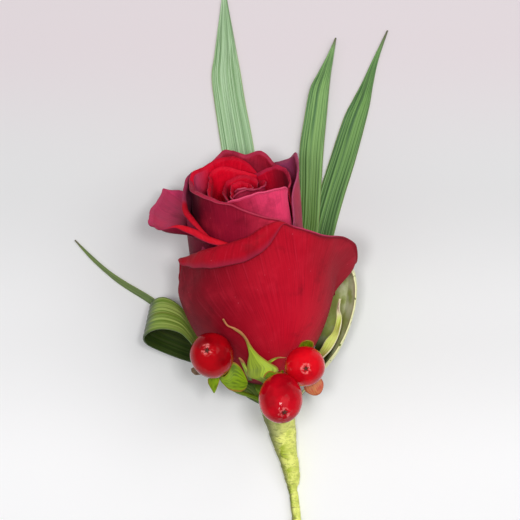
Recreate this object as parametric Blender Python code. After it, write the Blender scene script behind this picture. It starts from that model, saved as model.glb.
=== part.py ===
"""Boutonniere: a red rose with three grass blades, a looped blade, a thin strand, three
hypericum berries and a cream-edged leaf, wrapped together in floral tape.

It lies on its back: the stem points to -Y, the blades to +Y and the bloom faces up.
Lengths are in millimetres, measured from under the base of the rose, and one empty moves
the whole thing so that the middle of its footprint is the world's origin.
"""
import math

import bmesh
import bpy
from mathutils import Euler, Matrix, Vector

MM = 0.001
FOOTPRINT_MIDDLE = (-7.6, 25.8)

# The rose: its bloom is a half-open cup on an axis that rises towards the viewer.
BLOOM_BASE = Vector((1.2, -0.4, 7.0))
BLOOM_RISE = math.radians(30)
BLOOM_LEAN = math.radians(6)
BLOOM_RADIUS = 19.8
BLOOM_SHOULDER = 38.0
BLOOM_DEPTH = 0.93
PETAL_THICKNESS = 0.7
LIP_FALL = 1.5
LEAST_LIP_LENGTH = 1.2

# The tape: a sleeve that tapers to a twisted tail.
TAPE_WALL = 0.6
TAPE_CLEARANCE = 0.2
WRAP_RIDGE = 0.11
WRAP_TURNS = 9.5
TAPE_MOUTH_Y = -7.0
HELD_END_Y = -10.5

LEAF_THICKNESS = 0.6
BLADE_THICKNESS = 0.7


def material(name, colour, roughness):
    made = bpy.data.materials.new(name)
    made.use_nodes = True
    shader = made.node_tree.nodes["Principled BSDF"]
    shader.inputs["Base Color"].default_value = (*colour, 1.0)
    shader.inputs["Roughness"].default_value = roughness
    shader.inputs["Metallic"].default_value = 0.0
    return made


def smooth_step(value):
    value = min(max(value, 0.0), 1.0)
    return value * value * (3.0 - 2.0 * value)


def along(stations, place):
    """The values of a smooth line through the stations, at a place from 0 to 1."""
    spans = len(stations) - 1
    index = min(int(place * spans), spans - 1)
    part = place * spans - index
    before = stations[max(index - 1, 0)]
    start = stations[index]
    end = stations[index + 1]
    after = stations[min(index + 2, spans)]
    values = []
    for a, b, c, d in zip(before, start, end, after):
        slope_in = 0.5 * (c - a)
        slope_out = 0.5 * (d - b)
        rise = c - b
        curve = part * (slope_in + part * (3 * rise - 2 * slope_in - slope_out
                                           + part * (slope_in + slope_out - 2 * rise)))
        values.append(b + curve)
    return values


def finish_object(name, mesh_maker, matter):
    """Put a bmesh, drawn in millimetres, in the scene as a named object in metres."""
    bmesh.ops.recalc_face_normals(mesh_maker, faces=mesh_maker.faces)
    mesh = bpy.data.meshes.new(name)
    mesh_maker.to_mesh(mesh)
    mesh_maker.free()
    mesh.transform(Matrix.Scale(MM, 4))
    mesh.shade_smooth()
    made = bpy.data.objects.new(name, mesh)
    bpy.context.scene.collection.objects.link(made)
    made.data.materials.append(matter)
    made.parent = boutonniere
    return made


def sheet(name, surface, columns, rows, thickness, matter, offset=0.0):
    """A grid laid on surface(u, v) and thickened; both numbers run from 0 to 1."""
    grid = bmesh.new()
    bmesh.ops.create_grid(grid, x_segments=columns, y_segments=rows, size=0.5)
    for vertex in grid.verts:
        vertex.co = surface(vertex.co.x + 0.5, vertex.co.y + 0.5)
    made = finish_object(name, grid, matter)
    solid = made.modifiers.new("thickness", "SOLIDIFY")
    solid.thickness = thickness * MM
    solid.offset = offset
    return made


def strip(name, stations, thickness, matter, columns=2, steps=2, fold=0.0, offset=0.0):
    """A leaf-like strip through stations of a middle point and a half-width vector."""
    spans = len(stations) - 1

    def surface(u, v):
        values = along(stations, v)
        ahead = along(stations, min(v + 0.01, 1.0))
        behind = along(stations, max(v - 0.01, 0.0))
        middle = Vector(values[:3])
        half = Vector(values[3:])
        run = Vector(ahead[:3]) - Vector(behind[:3])
        normal = run.cross(half).normalized()
        side = 2.0 * u - 1.0
        point = middle + half * side + normal * (fold * half.length * (1.0 - abs(side)))
        point.z = max(point.z, 0.5 * thickness)
        return point

    return sheet(name, surface, columns, spans * steps, thickness, matter, offset)


def loft(name, rings, matter):
    """A closed skin over rings of points, with a flat cap on the first and the last."""
    skin = bmesh.new()
    loops = [[skin.verts.new(point) for point in ring] for ring in rings]
    for first, second in zip(loops, loops[1:]):
        for side in range(len(first)):
            skin.faces.new((first[side - 1], first[side], second[side], second[side - 1]))
    skin.faces.new(loops[0])
    skin.faces.new(loops[-1])
    return finish_object(name, skin, matter)


def stalk(name, stations, matter, sides=8, steps=2):
    """A round stalk through stations of x, y, z and a radius."""
    count = (len(stations) - 1) * steps
    rings = []
    for step in range(count + 1):
        place = step / count
        x, y, z, radius = along(stations, place)
        ahead = Vector(along(stations, min(place + 0.01, 1.0))[:3])
        behind = Vector(along(stations, max(place - 0.01, 0.0))[:3])
        turn = (ahead - behind).to_track_quat("Z", "Y")
        ring = []
        for side in range(sides):
            angle = 2.0 * math.pi * side / sides
            spoke = Vector((radius * math.cos(angle), radius * math.sin(angle), 0.0))
            ring.append(Vector((x, y, z)) + turn @ spoke)
        rings.append(ring)
    return loft(name, rings, matter)


def fuse(body, pieces):
    """Join the pieces to the body as one solid and remove them from the scene."""
    group = bpy.data.collections.new(body.name + "_pieces")
    bpy.context.scene.collection.children.link(group)
    for piece in pieces:
        bpy.context.scene.collection.objects.unlink(piece)
        group.objects.link(piece)
    union = body.modifiers.new("union", "BOOLEAN")
    union.operation = "UNION"
    union.solver = "EXACT"
    union.use_self = True
    union.operand_type = "COLLECTION"
    union.collection = group
    view = bpy.context.evaluated_depsgraph_get()
    joined = bpy.data.meshes.new_from_object(body.evaluated_get(view))
    body.modifiers.clear()
    body.data = joined
    for piece in pieces:
        bpy.data.objects.remove(piece)
    bpy.data.collections.remove(group)


# ---------------------------------------------------------------- rose bloom

def bloom_radius(height):
    """The outline of the cup: it swells from the base to the shoulder."""
    fill = 1.0 - (1.0 - min(height / BLOOM_SHOULDER, 1.0)) ** 2
    return BLOOM_RADIUS * fill ** 0.6


def bloom_point(angle, radius, height):
    """A point on the bloom's own axes: 90 degrees is its front, +Z its axis."""
    turn = math.radians(angle)
    return Vector((radius * math.cos(turn), -radius * BLOOM_DEPTH * math.sin(turn), height))


def petal_surface(layer, root, flare, lip_start, rim):
    """The surface of a petal. It follows the cup, scaled by its layer, up to the share of
    its length where it flares. Its rim runs through stations of an angle, a radius, a
    height, the radius of its rolled lip and how far the lip turns."""

    def meridian(share, radius, height):
        level = root + (height - root) * share
        spread = radius - layer * bloom_radius(height)
        opened = spread * smooth_step((share - flare) / (1.0 - flare))
        return layer * bloom_radius(level) + opened, level

    def surface(u, v):
        angle, radius, height, lip, turn = along(rim, u)
        turn = math.radians(max(turn, 20.0))
        lip = max(lip, LEAST_LIP_LENGTH / turn)
        top = height - lip * math.sin(min(turn, math.pi / 2))
        neck = radius - lip * (1.0 - math.cos(min(turn, math.pi / 2)))
        share = min(v / lip_start, 1.0) ** (1.5 if root < 10.0 else 1.0)
        r, h = meridian(share, neck, top)
        if v > lip_start:
            r0, h0 = meridian(0.94, neck, top)
            rise = Vector((r - r0, h - h0)).normalized()
            out = Vector((rise.y, -rise.x))
            bend = turn * (v - lip_start) / (1.0 - lip_start)
            r += lip * (rise.x * math.sin(bend) + out.x * (1.0 - math.cos(bend)))
            h += lip * (rise.y * math.sin(bend) + out.y * (1.0 - math.cos(bend)))
            h -= LIP_FALL * lip * max(bend / (math.pi / 2) - 1.0, 0.0) ** 2
        middle = 0.5 * (rim[0][0] + rim[-1][0])
        narrow = 0.72 + 0.28 * smooth_step(1.6 * share)
        return bloom_point(middle + (angle - middle) * narrow, r, h)

    return surface


# Each petal: its layer, the height of its root, where it flares, its grid and its rim.
PETALS = {
    "front": (1.0, 0.6, 0.74, 16, 8, 3, (
        (192, 18.6, 25, 0.4, 30), (182, 18.6, 31, 0.6, 60), (171, 18.5, 36.2, 1.0, 130),
        (156, 18.9, 40.4, 1.5, 165), (138, 19.5, 44.2, 1.9, 170), (118, 20, 48.0, 2.3, 170),
        (100, 20, 50.2, 2.4, 168), (84, 20, 52.6, 1.7, 150), (70, 19.6, 53.8, 0.6, 90),
        (59, 19.6, 51.2, 0.6, 110), (50, 20.2, 50.0, 0.8, 120), (36, 21.6, 46.6, 0.8, 110),
        (20, 24, 42.4, 0.7, 80), (7, 24.8, 37.5, 0.5, 40), (-3, 22.6, 31.5, 0.5, 20),
        (-13, 19.2, 25, 0.5, 20))),
    "back": (0.95, 0.8, 0.5, 9, 5, 2, (
        (184, 18.2, 23, 0.4, 40), (208, 18.6, 26, 0.6, 90), (228, 19.0, 33, 0.9, 120),
        (248, 19.4, 43, 1.2, 140), (270, 19.4, 43, 1.2, 140), (292, 19.2, 37, 1.1, 140),
        (318, 19.0, 31, 0.9, 120), (342, 18.8, 27, 0.7, 90), (362, 18.4, 23, 0.4, 40))),
    "left_wing": (0.76, 28.0, 0.62, 12, 6, 2, (
        (80, 16.6, 45, 0.4, 40), (98, 16.8, 46.4, 0.7, 100), (114, 17.0, 48.2, 0.9, 120),
        (132, 17.8, 49.8, 0.9, 120), (148, 19.8, 51.0, 0.8, 100), (164, 22.0, 51.6, 0.6, 60),
        (178, 23.6, 50.6, 0.4, 40), (194, 24.4, 48.6, 0.4, 40), (210, 24.4, 47.6, 0.4, 50),
        (222, 22.0, 48.2, 0.4, 40), (235, 18.0, 44.0, 0.5, 20))),
    "left_inner": (0.76, 22.0, 0.5, 8, 4, 2, (
        (116, 15.2, 46.0, 0.4, 60), (135, 15.6, 50.0, 0.6, 90), (152, 15.6, 52.2, 0.6, 90),
        (172, 15.7, 53.0, 0.6, 90), (190, 15.3, 54.6, 0.5, 80), (207, 15.0, 56.4, 0.4, 60),
        (226, 14.9, 56.0, 0.4, 60))),
    "bud_front": (0.71, 24.0, 0.5, 11, 4, 2, (
        (38, 13.3, 45.0, 0.3, 30), (56, 13.6, 50.3, 0.5, 70), (72, 13.6, 52.7, 0.5, 70),
        (90, 13.6, 54.7, 0.5, 80), (106, 13.6, 56.6, 0.6, 90), (124, 13.6, 57.9, 0.6, 90),
        (146, 13.6, 58.3, 0.6, 90), (170, 13.5, 57.0, 0.6, 90), (190, 13.5, 56.0, 0.5, 80),
        (208, 13.6, 56.4, 0.4, 60))),
    "right": (0.65, 22.0, 0.4, 9, 4, 2, (
        (46, 12.6, 41.0, 0.3, 20), (34, 12.6, 47.0, 0.4, 30), (24, 12.4, 53.0, 0.4, 40),
        (8, 12.7, 57.0, 0.4, 40), (-12, 13.4, 58.2, 0.4, 40), (-29, 14.3, 59.0, 0.4, 50),
        (-42, 14.6, 56.0, 0.4, 60), (-60, 14.4, 54.0, 0.3, 50))),
    "bud_back": (0.75, 24.0, 0.5, 11, 4, 2, (
        (-46, 14.2, 51.5, 0.3, 40), (-60, 14.8, 54.8, 0.5, 70), (-70, 14.9, 56.8, 0.6, 90),
        (-82, 14.8, 56.2, 0.5, 80), (-94, 14.8, 56.6, 0.6, 90), (-108, 14.8, 58.4, 0.6, 90),
        (-120, 14.7, 56.8, 0.5, 80), (-136, 14.7, 56.2, 0.5, 80), (-154, 14.3, 54.5, 0.3, 40))),
    "second_left": (0.62, 26.0, 0.5, 9, 4, 2, (
        (188, 12.2, 54.5, 0.3, 50), (204, 12.3, 56.7, 0.4, 70), (224, 12.3, 57.2, 0.5, 90),
        (244, 12.3, 57.6, 0.5, 90), (262, 12.0, 56.5, 0.5, 80), (280, 12.0, 53.4, 0.4, 60),
        (296, 11.8, 50.0, 0.3, 40))),
    "third_left": (0.52, 27.0, 0.5, 8, 4, 2, (
        (140, 10.3, 55.0, 0.3, 50), (160, 10.3, 56.2, 0.4, 70), (186, 10.4, 55.6, 0.4, 70),
        (212, 10.2, 55.8, 0.4, 70), (238, 10.0, 56.4, 0.4, 70), (262, 9.5, 55.0, 0.4, 70),
        (288, 9.1, 53.4, 0.3, 50))),
    "third_right": (0.60, 26.0, 0.5, 8, 4, 2, (
        (278, 9.6, 52.5, 0.3, 50), (298, 10.0, 54.4, 0.4, 70), (316, 11.2, 55.8, 0.4, 70),
        (334, 12.0, 55.8, 0.4, 70), (356, 12.3, 57.0, 0.4, 70), (378, 12.3, 57.2, 0.3, 50))),
    "heart_front": (0.57, 26.0, 0.5, 8, 4, 2, (
        (134, 10.8, 53.5, 0.3, 50), (118, 11.0, 56.0, 0.4, 70), (98, 11.0, 57.2, 0.4, 70),
        (78, 11.1, 58.1, 0.4, 70), (58, 11.6, 57.9, 0.4, 70), (38, 12.0, 57.2, 0.4, 60),
        (20, 11.8, 54.5, 0.3, 40))),
    "heart_left": (0.34, 28.0, 0.4, 8, 3, 2, (
        (130, 7.2, 54.2, 0.3, 50), (165, 7.0, 54.6, 0.3, 70), (210, 6.8, 53.2, 0.3, 70),
        (242, 6.3, 54.6, 0.3, 70), (270, 6.1, 55.2, 0.3, 70), (300, 6.3, 54.4, 0.3, 50))),
    "heart_right": (0.32, 28.0, 0.4, 8, 3, 2, (
        (300, 5.6, 53.0, 0.3, 50), (340, 6.2, 54.6, 0.3, 70), (380, 6.6, 55.4, 0.3, 70),
        (420, 6.6, 55.2, 0.3, 70), (460, 6.0, 53.6, 0.3, 50))),
    "whorl": (0.22, 28.0, 0.4, 8, 3, 2, (
        (130, 4.8, 52.5, 0.2, 50), (170, 4.7, 53.4, 0.2, 70), (220, 4.4, 53.4, 0.2, 70),
        (260, 4.2, 54.2, 0.2, 70), (310, 4.2, 53.6, 0.2, 50))),
}


# The core that the petals are rooted in: height, and its share of the bloom's radius.
CORE_PROFILE = ((0.3, 1.0), (1.8, 1.0), (4.0, 1.0), (5.8, 0.85), (11.0, 0.85), (18.0, 0.85),
                (26.0, 0.79), (36.0, 0.75), (41.0, 0.66), (44.0, 0.5), (46.0, 0.2))


def make_bloom():
    """Fourteen petals in their layers, rooted in a smaller core and fused with it."""
    red = material("rose_petals", (0.36, 0.006, 0.022), 0.6)
    rings = []
    for level, share in CORE_PROFILE:
        radius = share * bloom_radius(level)
        rings.append([bloom_point(18.0 * step, radius, level) for step in range(20)])
    bloom = loft("rose_bloom", rings, red)
    petals = []
    for name, (layer, root, flare, columns, rows, lip_rows, rim) in PETALS.items():
        surface = petal_surface(layer, root, flare, rows / (rows + lip_rows), rim)
        petals.append(sheet(name, surface, columns, rows + lip_rows, PETAL_THICKNESS, red))
    fuse(bloom, petals)
    bloom.matrix_local = bloom_placement()
    return bloom


def bloom_placement():
    """From the bloom's own axes, in metres, to where the bloom lies."""
    rise = Matrix.Rotation(-(math.pi / 2 - BLOOM_RISE), 4, "X")
    lean = Matrix.Rotation(BLOOM_LEAN, 4, "Z")
    return Matrix.Translation(BLOOM_BASE * MM) @ lean @ rise


# ---------------------------------------------------------------- floral tape

# The tape's middle line, from its mouth to the end of its tail: x, y and outer radius.
TAPE_LINE = (
    (4.2, -7.0, 4.6), (5.9, -11.4, 3.7), (6.7, -15.1, 3.25), (7.4, -18.8, 2.95),
    (8.2, -22.6, 2.45), (8.4, -25.1, 1.95), (8.3, -27.4, 1.45), (8.4, -30.1, 1.22),
    (8.9, -35.0, 1.2), (9.2, -41.0, 1.15), (9.4, -46.5, 1.05))
TAPE_STEPS = 28
TAPE_SIDES = 20
CAVITY_STEPS = 15


def tape_section(place):
    """The tape's middle and outer radius, at a place from 0 at the mouth to 1."""
    x, y, radius = along(TAPE_LINE, place)
    return Vector((x, y, radius + TAPE_CLEARANCE)), radius


def held_point(y, angle, inset):
    """A point inside the sleeve, on the ring where leaves and stalks are held."""
    place = min(range(101), key=lambda step: abs(tape_section(step / 100)[0].y - y)) / 100
    middle, radius = tape_section(place)
    reach = radius - TAPE_WALL - inset
    turn = math.radians(angle)
    return middle + Vector((reach * math.cos(turn), y - middle.y, reach * math.sin(turn)))


def held_end(angle, half_width, inset):
    """The last two stations of a flat leaf, wrapped in the sleeve, innermost first."""
    turn = math.radians(angle)
    half = Vector((-math.sin(turn), 0.0, math.cos(turn))) * half_width
    stations = []
    for y in (HELD_END_Y, TAPE_MOUTH_Y):
        stations.append((*held_point(y, angle, inset), *half))
    return stations


def make_tape():
    lime = material("floral_tape", (0.50, 0.60, 0.16), 0.7)

    def ring(place, inward):
        middle, radius = tape_section(place)
        points = []
        for side in range(TAPE_SIDES):
            turn = 2.0 * math.pi * side / TAPE_SIDES
            wrap = WRAP_RIDGE * math.sin(turn + WRAP_TURNS * 2.0 * math.pi * place)
            crease = 0.5 * WRAP_RIDGE * math.sin(3.0 * turn - 34.0 * place)
            ridge = wrap + crease if inward == 0.0 else -inward
            reach = radius + ridge
            points.append(middle + Vector((reach * math.cos(turn), 0.0, reach * math.sin(turn))))
        return points

    rings = [ring(1.0 - step / TAPE_STEPS, 0.0) for step in range(TAPE_STEPS + 1)]
    rings += [ring(step / TAPE_STEPS, TAPE_WALL) for step in range(0, CAVITY_STEPS + 1, 3)]
    return loft("floral_tape", rings, lime)


# ---------------------------------------------------------------- rose hip, stem, sepals

HIP_PROFILE = ((0.0, 3.2), (-1.2, 3.35), (-2.6, 3.0), (-3.8, 2.0), (-4.8, 1.4))
SEPAL_GAP = 1.15
SEPAL_ROOT = 3.1

# The sepals that lie along the bloom: angle, height, half width and how far they lift off.
FRONT_SEPAL = ((88, -1.0, 1.2, 0.0), (88, 1.2, 2.0, 0.5), (88, 4.0, 3.6, 0.5), (89, 8.0, 5.0, 0.2),
               (93, 12.0, 3.4, 0.1), (96, 16.0, 1.5, 0.2), (99, 20.6, 0.5, 0.4),
               (105, 25.2, 0.4, 0.9), (111, 26.6, 0.4, 1.3), (115, 28.2, 0.3, 2.0))
FRONT_LOBES = (((108, 5.6, 0.8, 0.0), (113, 9.0, 0.9, 0.1), (118, 14.0, 0.3, 0.6)),
               ((66, 5.6, 0.9, 0.0), (62, 8.6, 1.0, 0.1), (56, 11.6, 0.3, 0.3)))
HIDDEN_SEPALS = (((205, -1.0, 1.0, 0.0), (205, 1.4, 1.4, 0.5), (205, 5.0, 2.0, 0.4),
                  (206, 9.0, 1.5, 0.3), (208, 12.5, 0.4, 0.6)),
                 ((322, -1.0, 1.0, 0.0), (322, 1.4, 1.2, 0.5), (321, 4.0, 1.5, 0.4),
                  (319, 6.4, 1.1, 0.2), (318, 8.6, 0.4, 0.4)))
# The wavy sepal on the right stands off the bloom: middle point and half width.
RIGHT_SEPAL = ((3.9, -1.2, 8.3, 0.2, -0.5, 1.2), (8.6, 1.0, 11.0, 0.4, -0.6, 1.5),
               (12.6, 4.3, 13.4, 0.8, -0.4, 1.5), (15.9, 8.4, 15.3, 0.9, -0.1, 1.1),
               (17.2, 12.3, 16.4, 1.0, 0.2, 0.6), (18.2, 16.2, 17.0, 0.5, 0.1, 0.4),
               (18.2, 19.6, 17.6, 0.3, 0.1, 0.2), (18.7, 22.0, 18.0, 0.2, 0.0, 0.1))


def lying_stations(path):
    """Turn stations on the bloom's outline into middle points and half widths."""
    placement = bloom_placement()
    stations = []
    for angle, height, half_width, lift in path:
        radius = bloom_radius(height) + SEPAL_GAP + lift if height > 0.0 else SEPAL_ROOT
        turn = math.radians(angle)
        middle = placement @ (bloom_point(angle, radius, height) * MM) / MM
        across = Vector((math.sin(turn), math.cos(turn), 0.0)) * half_width
        stations.append((*middle, *(placement.to_3x3() @ across)))
    return stations


def make_calyx():
    green = material("rose_calyx", (0.33, 0.44, 0.08), 0.5)
    placement = bloom_placement()
    rings = []
    for height, radius in HIP_PROFILE:
        ring = []
        for step in range(20):
            turn = 2.0 * math.pi * step / 20
            point = Vector((radius * math.cos(turn), radius * math.sin(turn), height)) * MM
            ring.append(placement @ point / MM)
        rings.append(ring)
    hip = loft("rose_calyx", rings, green)
    neck = placement @ (Vector((0.0, 0.0, -3.6)) * MM) / MM
    stem_path = [(*neck, 1.4), (3.1, -6.6, 4.4, 1.4), (5.0, -9.8, 4.2, 1.35),
                 (6.2, -13.6, 3.6, 1.3), (*tape_section(0.42)[0], 1.2)]
    pieces = [stalk("stem", stem_path, green, sides=12)]
    for path in (FRONT_SEPAL, *FRONT_LOBES, *HIDDEN_SEPALS):
        stations = lying_stations(path)
        pieces.append(strip("sepal", stations, LEAF_THICKNESS, green, columns=4, fold=0.0))
    pieces.append(strip("sepal", RIGHT_SEPAL, LEAF_THICKNESS, green, columns=2))
    fuse(hip, pieces)
    return hip


# ---------------------------------------------------------------- blades, loop and strand

# Stations of a middle point and a half-width vector, from the tape to the tip.
LEFT_BLADE = (
    (2.0, -2.0, 0.9, 1.1, 0.15, 0.0), (1.2, 4.0, 0.35, 1.9, 0.25, 0.0),
    (-1.2, 22.0, 0.35, 3.3, 0.47, 0.0), (-3.9, 42.0, 0.35, 3.9, 0.5, 0.0),
    (-5.95, 56.5, 0.35, 3.95, 0.5, 0.0), (-7.9, 68.0, 0.35, 3.75, 0.4, 0.0),
    (-8.85, 75.0, 0.35, 3.6, 0.3, 0.0), (-8.95, 80.0, 0.35, 2.8, 0.1, 0.0),
    (-9.1, 86.0, 0.35, 1.85, 0.0, 0.0), (-9.3, 93.7, 0.35, 0.6, 0.0, 0.0),
    (-9.35, 98.1, 0.35, 0.1, 0.0, 0.0))
MIDDLE_BLADE = (
    (5.2, 0.0, 1.5, 1.0, 0.0, 0.0), (5.7, 5.0, 1.5, 1.6, -0.1, 0.0),
    (8.4, 22.0, 1.5, 2.4, -0.4, 0.0), (11.2, 36.0, 1.5, 2.5, -0.3, 0.0),
    (11.9, 46.0, 1.5, 2.65, 0.0, 0.0), (12.25, 56.2, 1.5, 2.95, 0.0, 0.0),
    (13.3, 65.0, 1.5, 2.7, 0.0, 0.0), (14.25, 71.6, 1.5, 2.35, 0.0, 0.0),
    (15.5, 75.6, 1.5, 1.55, 0.0, 0.0), (17.0, 80.0, 1.5, 0.75, 0.0, 0.0),
    (18.25, 84.2, 1.5, 0.1, 0.0, 0.0))
RIGHT_BLADE = (
    (8.2, -0.5, 1.1, 0.9, 0.0, 0.3), (9.5, 6.0, 0.35, 1.4, -0.3, 0.0),
    (12.0, 22.0, 0.35, 2.6, -0.5, 0.0), (14.8, 36.0, 0.35, 3.0, -0.6, 0.0),
    (17.1, 44.8, 0.35, 3.0, -0.7, 0.0), (20.05, 54.3, 0.35, 2.95, -0.8, 0.0),
    (22.9, 63.7, 0.35, 2.65, -0.7, 0.0), (24.6, 68.4, 0.35, 2.1, -0.5, 0.0),
    (26.1, 72.8, 0.35, 1.35, -0.3, 0.0), (28.15, 78.9, 0.35, 0.65, -0.1, 0.0),
    (31.1, 86.1, 0.35, 0.1, 0.0, 0.0))
STRAND = (
    (-3.6, -2.0, 0.9, 0.3, 0.4, 0.0), (-10.0, 4.6, 0.3, 0.5, 0.6, 0.0),
    (-20.0, 13.2, 0.3, 0.5, 0.7, 0.0), (-27.0, 18.9, 0.3, 0.5, 0.7, 0.0),
    (-34.2, 23.4, 0.3, 0.4, 0.6, 0.0), (-38.3, 26.4, 0.3, 0.3, 0.45, 0.0),
    (-42.3, 30.0, 0.3, 0.25, 0.35, 0.0), (-46.3, 34.2, 0.3, 0.1, 0.1, 0.0))
# The looped blade leaves the tape, runs under, bends round at the left and comes back over.
LOOP_UNDER = (
    (-3.9, -3.4, 4.6, -0.3, -0.6, 0.6), (-8.5, 1.6, 4.3, -0.2, -2.0, 1.2),
    (-14.5, 6.6, 3.8, 0.0, -3.4, 2.0), (-20.1, 9.0, 3.9, 0.0, -4.0, 2.3),
    (-25.1, 11.0, 4.9, 0.0, -4.05, 2.35), (-28.2, 12.7, 8.0, 0.0, -4.05, 2.35),
    (-28.8, 14.4, 11.3, 0.0, -4.05, 2.35), (-27.0, 16.1, 14.4, 0.0, -4.05, 2.35),
    (-23.9, 16.5, 15.4, 0.0, -3.8, 2.35), (-20.0, 15.0, 15.1, 0.0, -3.15, 2.2),
    (-17.7, 12.3, 14.5, 0.0, -2.5, 2.0), (-16.2, 9.7, 13.5, -0.3, -1.6, 1.6),
    (-14.4, 5.6, 12.4, -0.8, -0.9, 1.2), (-10.4, 0.8, 10.8, -0.9, -1.2, 0.8),
    (-4.0, -3.4, 8.4, -0.9, -1.3, 0.5), (-0.9, -5.3, 7.1, -0.4, -0.5, 0.3))


def make_blades():
    greens = {
        "blade_left": ((0.29, 0.46, 0.28), LEFT_BLADE, 249),
        "blade_middle": ((0.18, 0.34, 0.13), MIDDLE_BLADE, 284),
        "blade_right": ((0.10, 0.25, 0.07), RIGHT_BLADE, 318),
        "grass_strand": ((0.10, 0.22, 0.05), STRAND, 220),
    }
    for name, (colour, path, angle) in greens.items():
        width = 0.35 if name == "grass_strand" else 0.55
        thickness = LEAF_THICKNESS if name == "grass_strand" else BLADE_THICKNESS
        green = material(name, colour, 0.55)
        stations = held_end(angle, width, 0.68) + list(path)
        strip(name, stations, thickness, green, columns=2, steps=2)


def make_loop():
    green = material("leaf_loop", (0.13, 0.25, 0.05), 0.5)
    first = [(*values[:3], -values[3], -values[4], -values[5])
             for values in held_end(190, 0.45, 0.8)]
    last = held_end(160, 0.45, 0.8)[::-1]
    last = [(*values[:3], -values[3], -values[4], -values[5]) for values in last]
    strip("leaf_loop", first + list(LOOP_UNDER) + last, LEAF_THICKNESS, green, columns=2)


# ---------------------------------------------------------------- berries and their sprigs

# Each berry: middle, the way its tip points, radius, half length and its place in the tape.
BERRIES = {
    "left": ((-11.9, 6.7, 33.6), (-0.19, 0.58, 0.79), 5.2, 6.0, 128),
    "right": ((10.1, 4.1, 32.3), (0.04, -0.04, 1.0), 4.8, 6.0, 58),
    "bottom": ((4.25, -3.5, 38.0), (0.02, -0.66, 0.75), 5.0, 6.5, 93),
}
STALK_BENDS = {
    "left": ((-10.0, 1.6, 24.0), (-6.8, -2.2, 16.0), (-1.4, -4.5, 9.3)),
    "right": ((9.9, 2.8, 22.6), (9.0, -0.8, 17.0), (7.1, -4.3, 10.2)),
    "bottom": ((4.3, 0.2, 28.0), (4.3, -2.6, 21.0), (4.2, -4.2, 11.4)),
}
# Sepals spread from the foot of each berry: the turn about its axis, the angle off its tip,
# the length and the half width.
BERRY_SEPALS = {
    "left": ((139, 101, 8.2, 2.9), (49, 112, 5.3, 1.7), (-12, 82, 5.8, 1.1),
             (205, 75, 3.8, 1.2), (268, 75, 3.8, 1.2)),
    "right": ((36, 39, 8.8, 1.4), (-109, 80, 8.2, 2.4), (-35, 75, 4.2, 1.3),
              (110, 75, 3.8, 1.2), (180, 75, 3.8, 1.2)),
    "bottom": ((25, 155, 1.8, 0.8), (97, 75, 2.6, 1.2), (169, 75, 4.0, 1.4),
               (241, 75, 4.0, 1.4), (306, 75, 3.2, 0.9)),
}
FOOT_GAP = 0.5
STALK_RADIUS = 0.5


def make_berry(name, middle, tip, radius, half_length, matter):
    """An egg-shaped berry with a little pointed nose where the styles have dried."""
    berry = bmesh.new()
    bmesh.ops.create_uvsphere(berry, u_segments=20, v_segments=12, radius=1.0)
    for vertex in berry.verts:
        up = vertex.co.z
        swell = 1.0 - 0.10 * up - 0.04 * up * up
        nose = 0.05 * smooth_step((up - 0.93) / 0.07)
        vertex.co.x *= radius * swell
        vertex.co.y *= radius * swell
        vertex.co.z = half_length * (up + nose)
    made = finish_object(name, berry, matter)
    made.location = Vector(middle) * MM
    made.rotation_euler = Vector(tip).to_track_quat("Z", "Y").to_euler()
    return made


def make_sprig(side, foot, away, angle, matter):
    """The stalk from the tape to the berry's foot, with five sepals fused to its top."""
    inner = held_point(HELD_END_Y, angle, STALK_RADIUS + 0.5)
    mouth = held_point(TAPE_MOUTH_Y, angle, STALK_RADIUS + 0.5)
    path = [(*foot, 1.0), (*(foot + away * 1.0), 0.9)]
    path += [(*bend, STALK_RADIUS) for bend in STALK_BENDS[side]]
    path += [(*mouth, STALK_RADIUS), (*inner, STALK_RADIUS)]
    sprig = stalk("sprig_" + side, path, matter)
    sepals = []
    root = foot + away * 0.7
    facing = (-away).to_track_quat("Z", "Y")
    for turn, spread, length, half_width in BERRY_SEPALS[side]:
        lean = Euler((0.0, math.radians(spread), math.radians(turn))).to_quaternion()
        reach = facing @ lean @ Vector((0.0, 0.0, length))
        across = reach.cross(away).normalized() * half_width
        outward = reach - reach.project(away)
        elbow = outward * 0.85 + away * 0.3
        stations = []
        for share, width in ((0.0, 0.35), (0.3, 0.85), (0.58, 1.0), (0.84, 0.6), (1.0, 0.15)):
            middle = root + elbow * (2.0 * share * (1.0 - share)) + reach * share ** 2
            stations.append((*middle, *(across * width)))
        sepals.append(strip("sepal", stations, LEAF_THICKNESS, matter, columns=2))
    fuse(sprig, sepals)


def make_berries():
    scarlet = material("berry_skin", (0.55, 0.004, 0.012), 0.22)
    green = material("berry_sprig", (0.25, 0.34, 0.05), 0.5)
    for side, (middle, tip, radius, half_length, angle) in BERRIES.items():
        make_berry("berry_" + side, middle, tip, radius, half_length, scarlet)
        away = -Vector(tip).normalized()
        foot = Vector(middle) + away * (half_length + FOOT_GAP)
        make_sprig(side, foot, away, angle, green)


# ---------------------------------------------------------------- cream-edged leaf

# Stations of a middle point and a half-width vector, from the tape to the tip.
CREAM_LEAF = (
    (10.5, -2.6, 8.2, -0.1, 0.1, 0.6), (14.0, 1.6, 10.6, 0.6, 0.0, 1.0),
    (16.3, 7.0, 11.6, 2.4, 0.1, 3.8), (18.5, 13.0, 11.8, 2.9, 0.2, 4.8),
    (19.8, 19.0, 12.0, 3.0, 0.3, 4.8), (20.6, 24.2, 13.4, 2.1, -0.1, 3.6),
    (21.2, 27.0, 15.4, 0.4, 0.0, 0.8))


def make_cream_leaf():
    green = material("variegated_leaf", (0.28, 0.36, 0.16), 0.5)
    stations = held_end(22, 0.5, 0.7) + list(CREAM_LEAF)
    strip("variegated_leaf", stations, LEAF_THICKNESS, green, columns=6, fold=0.18)


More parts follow.
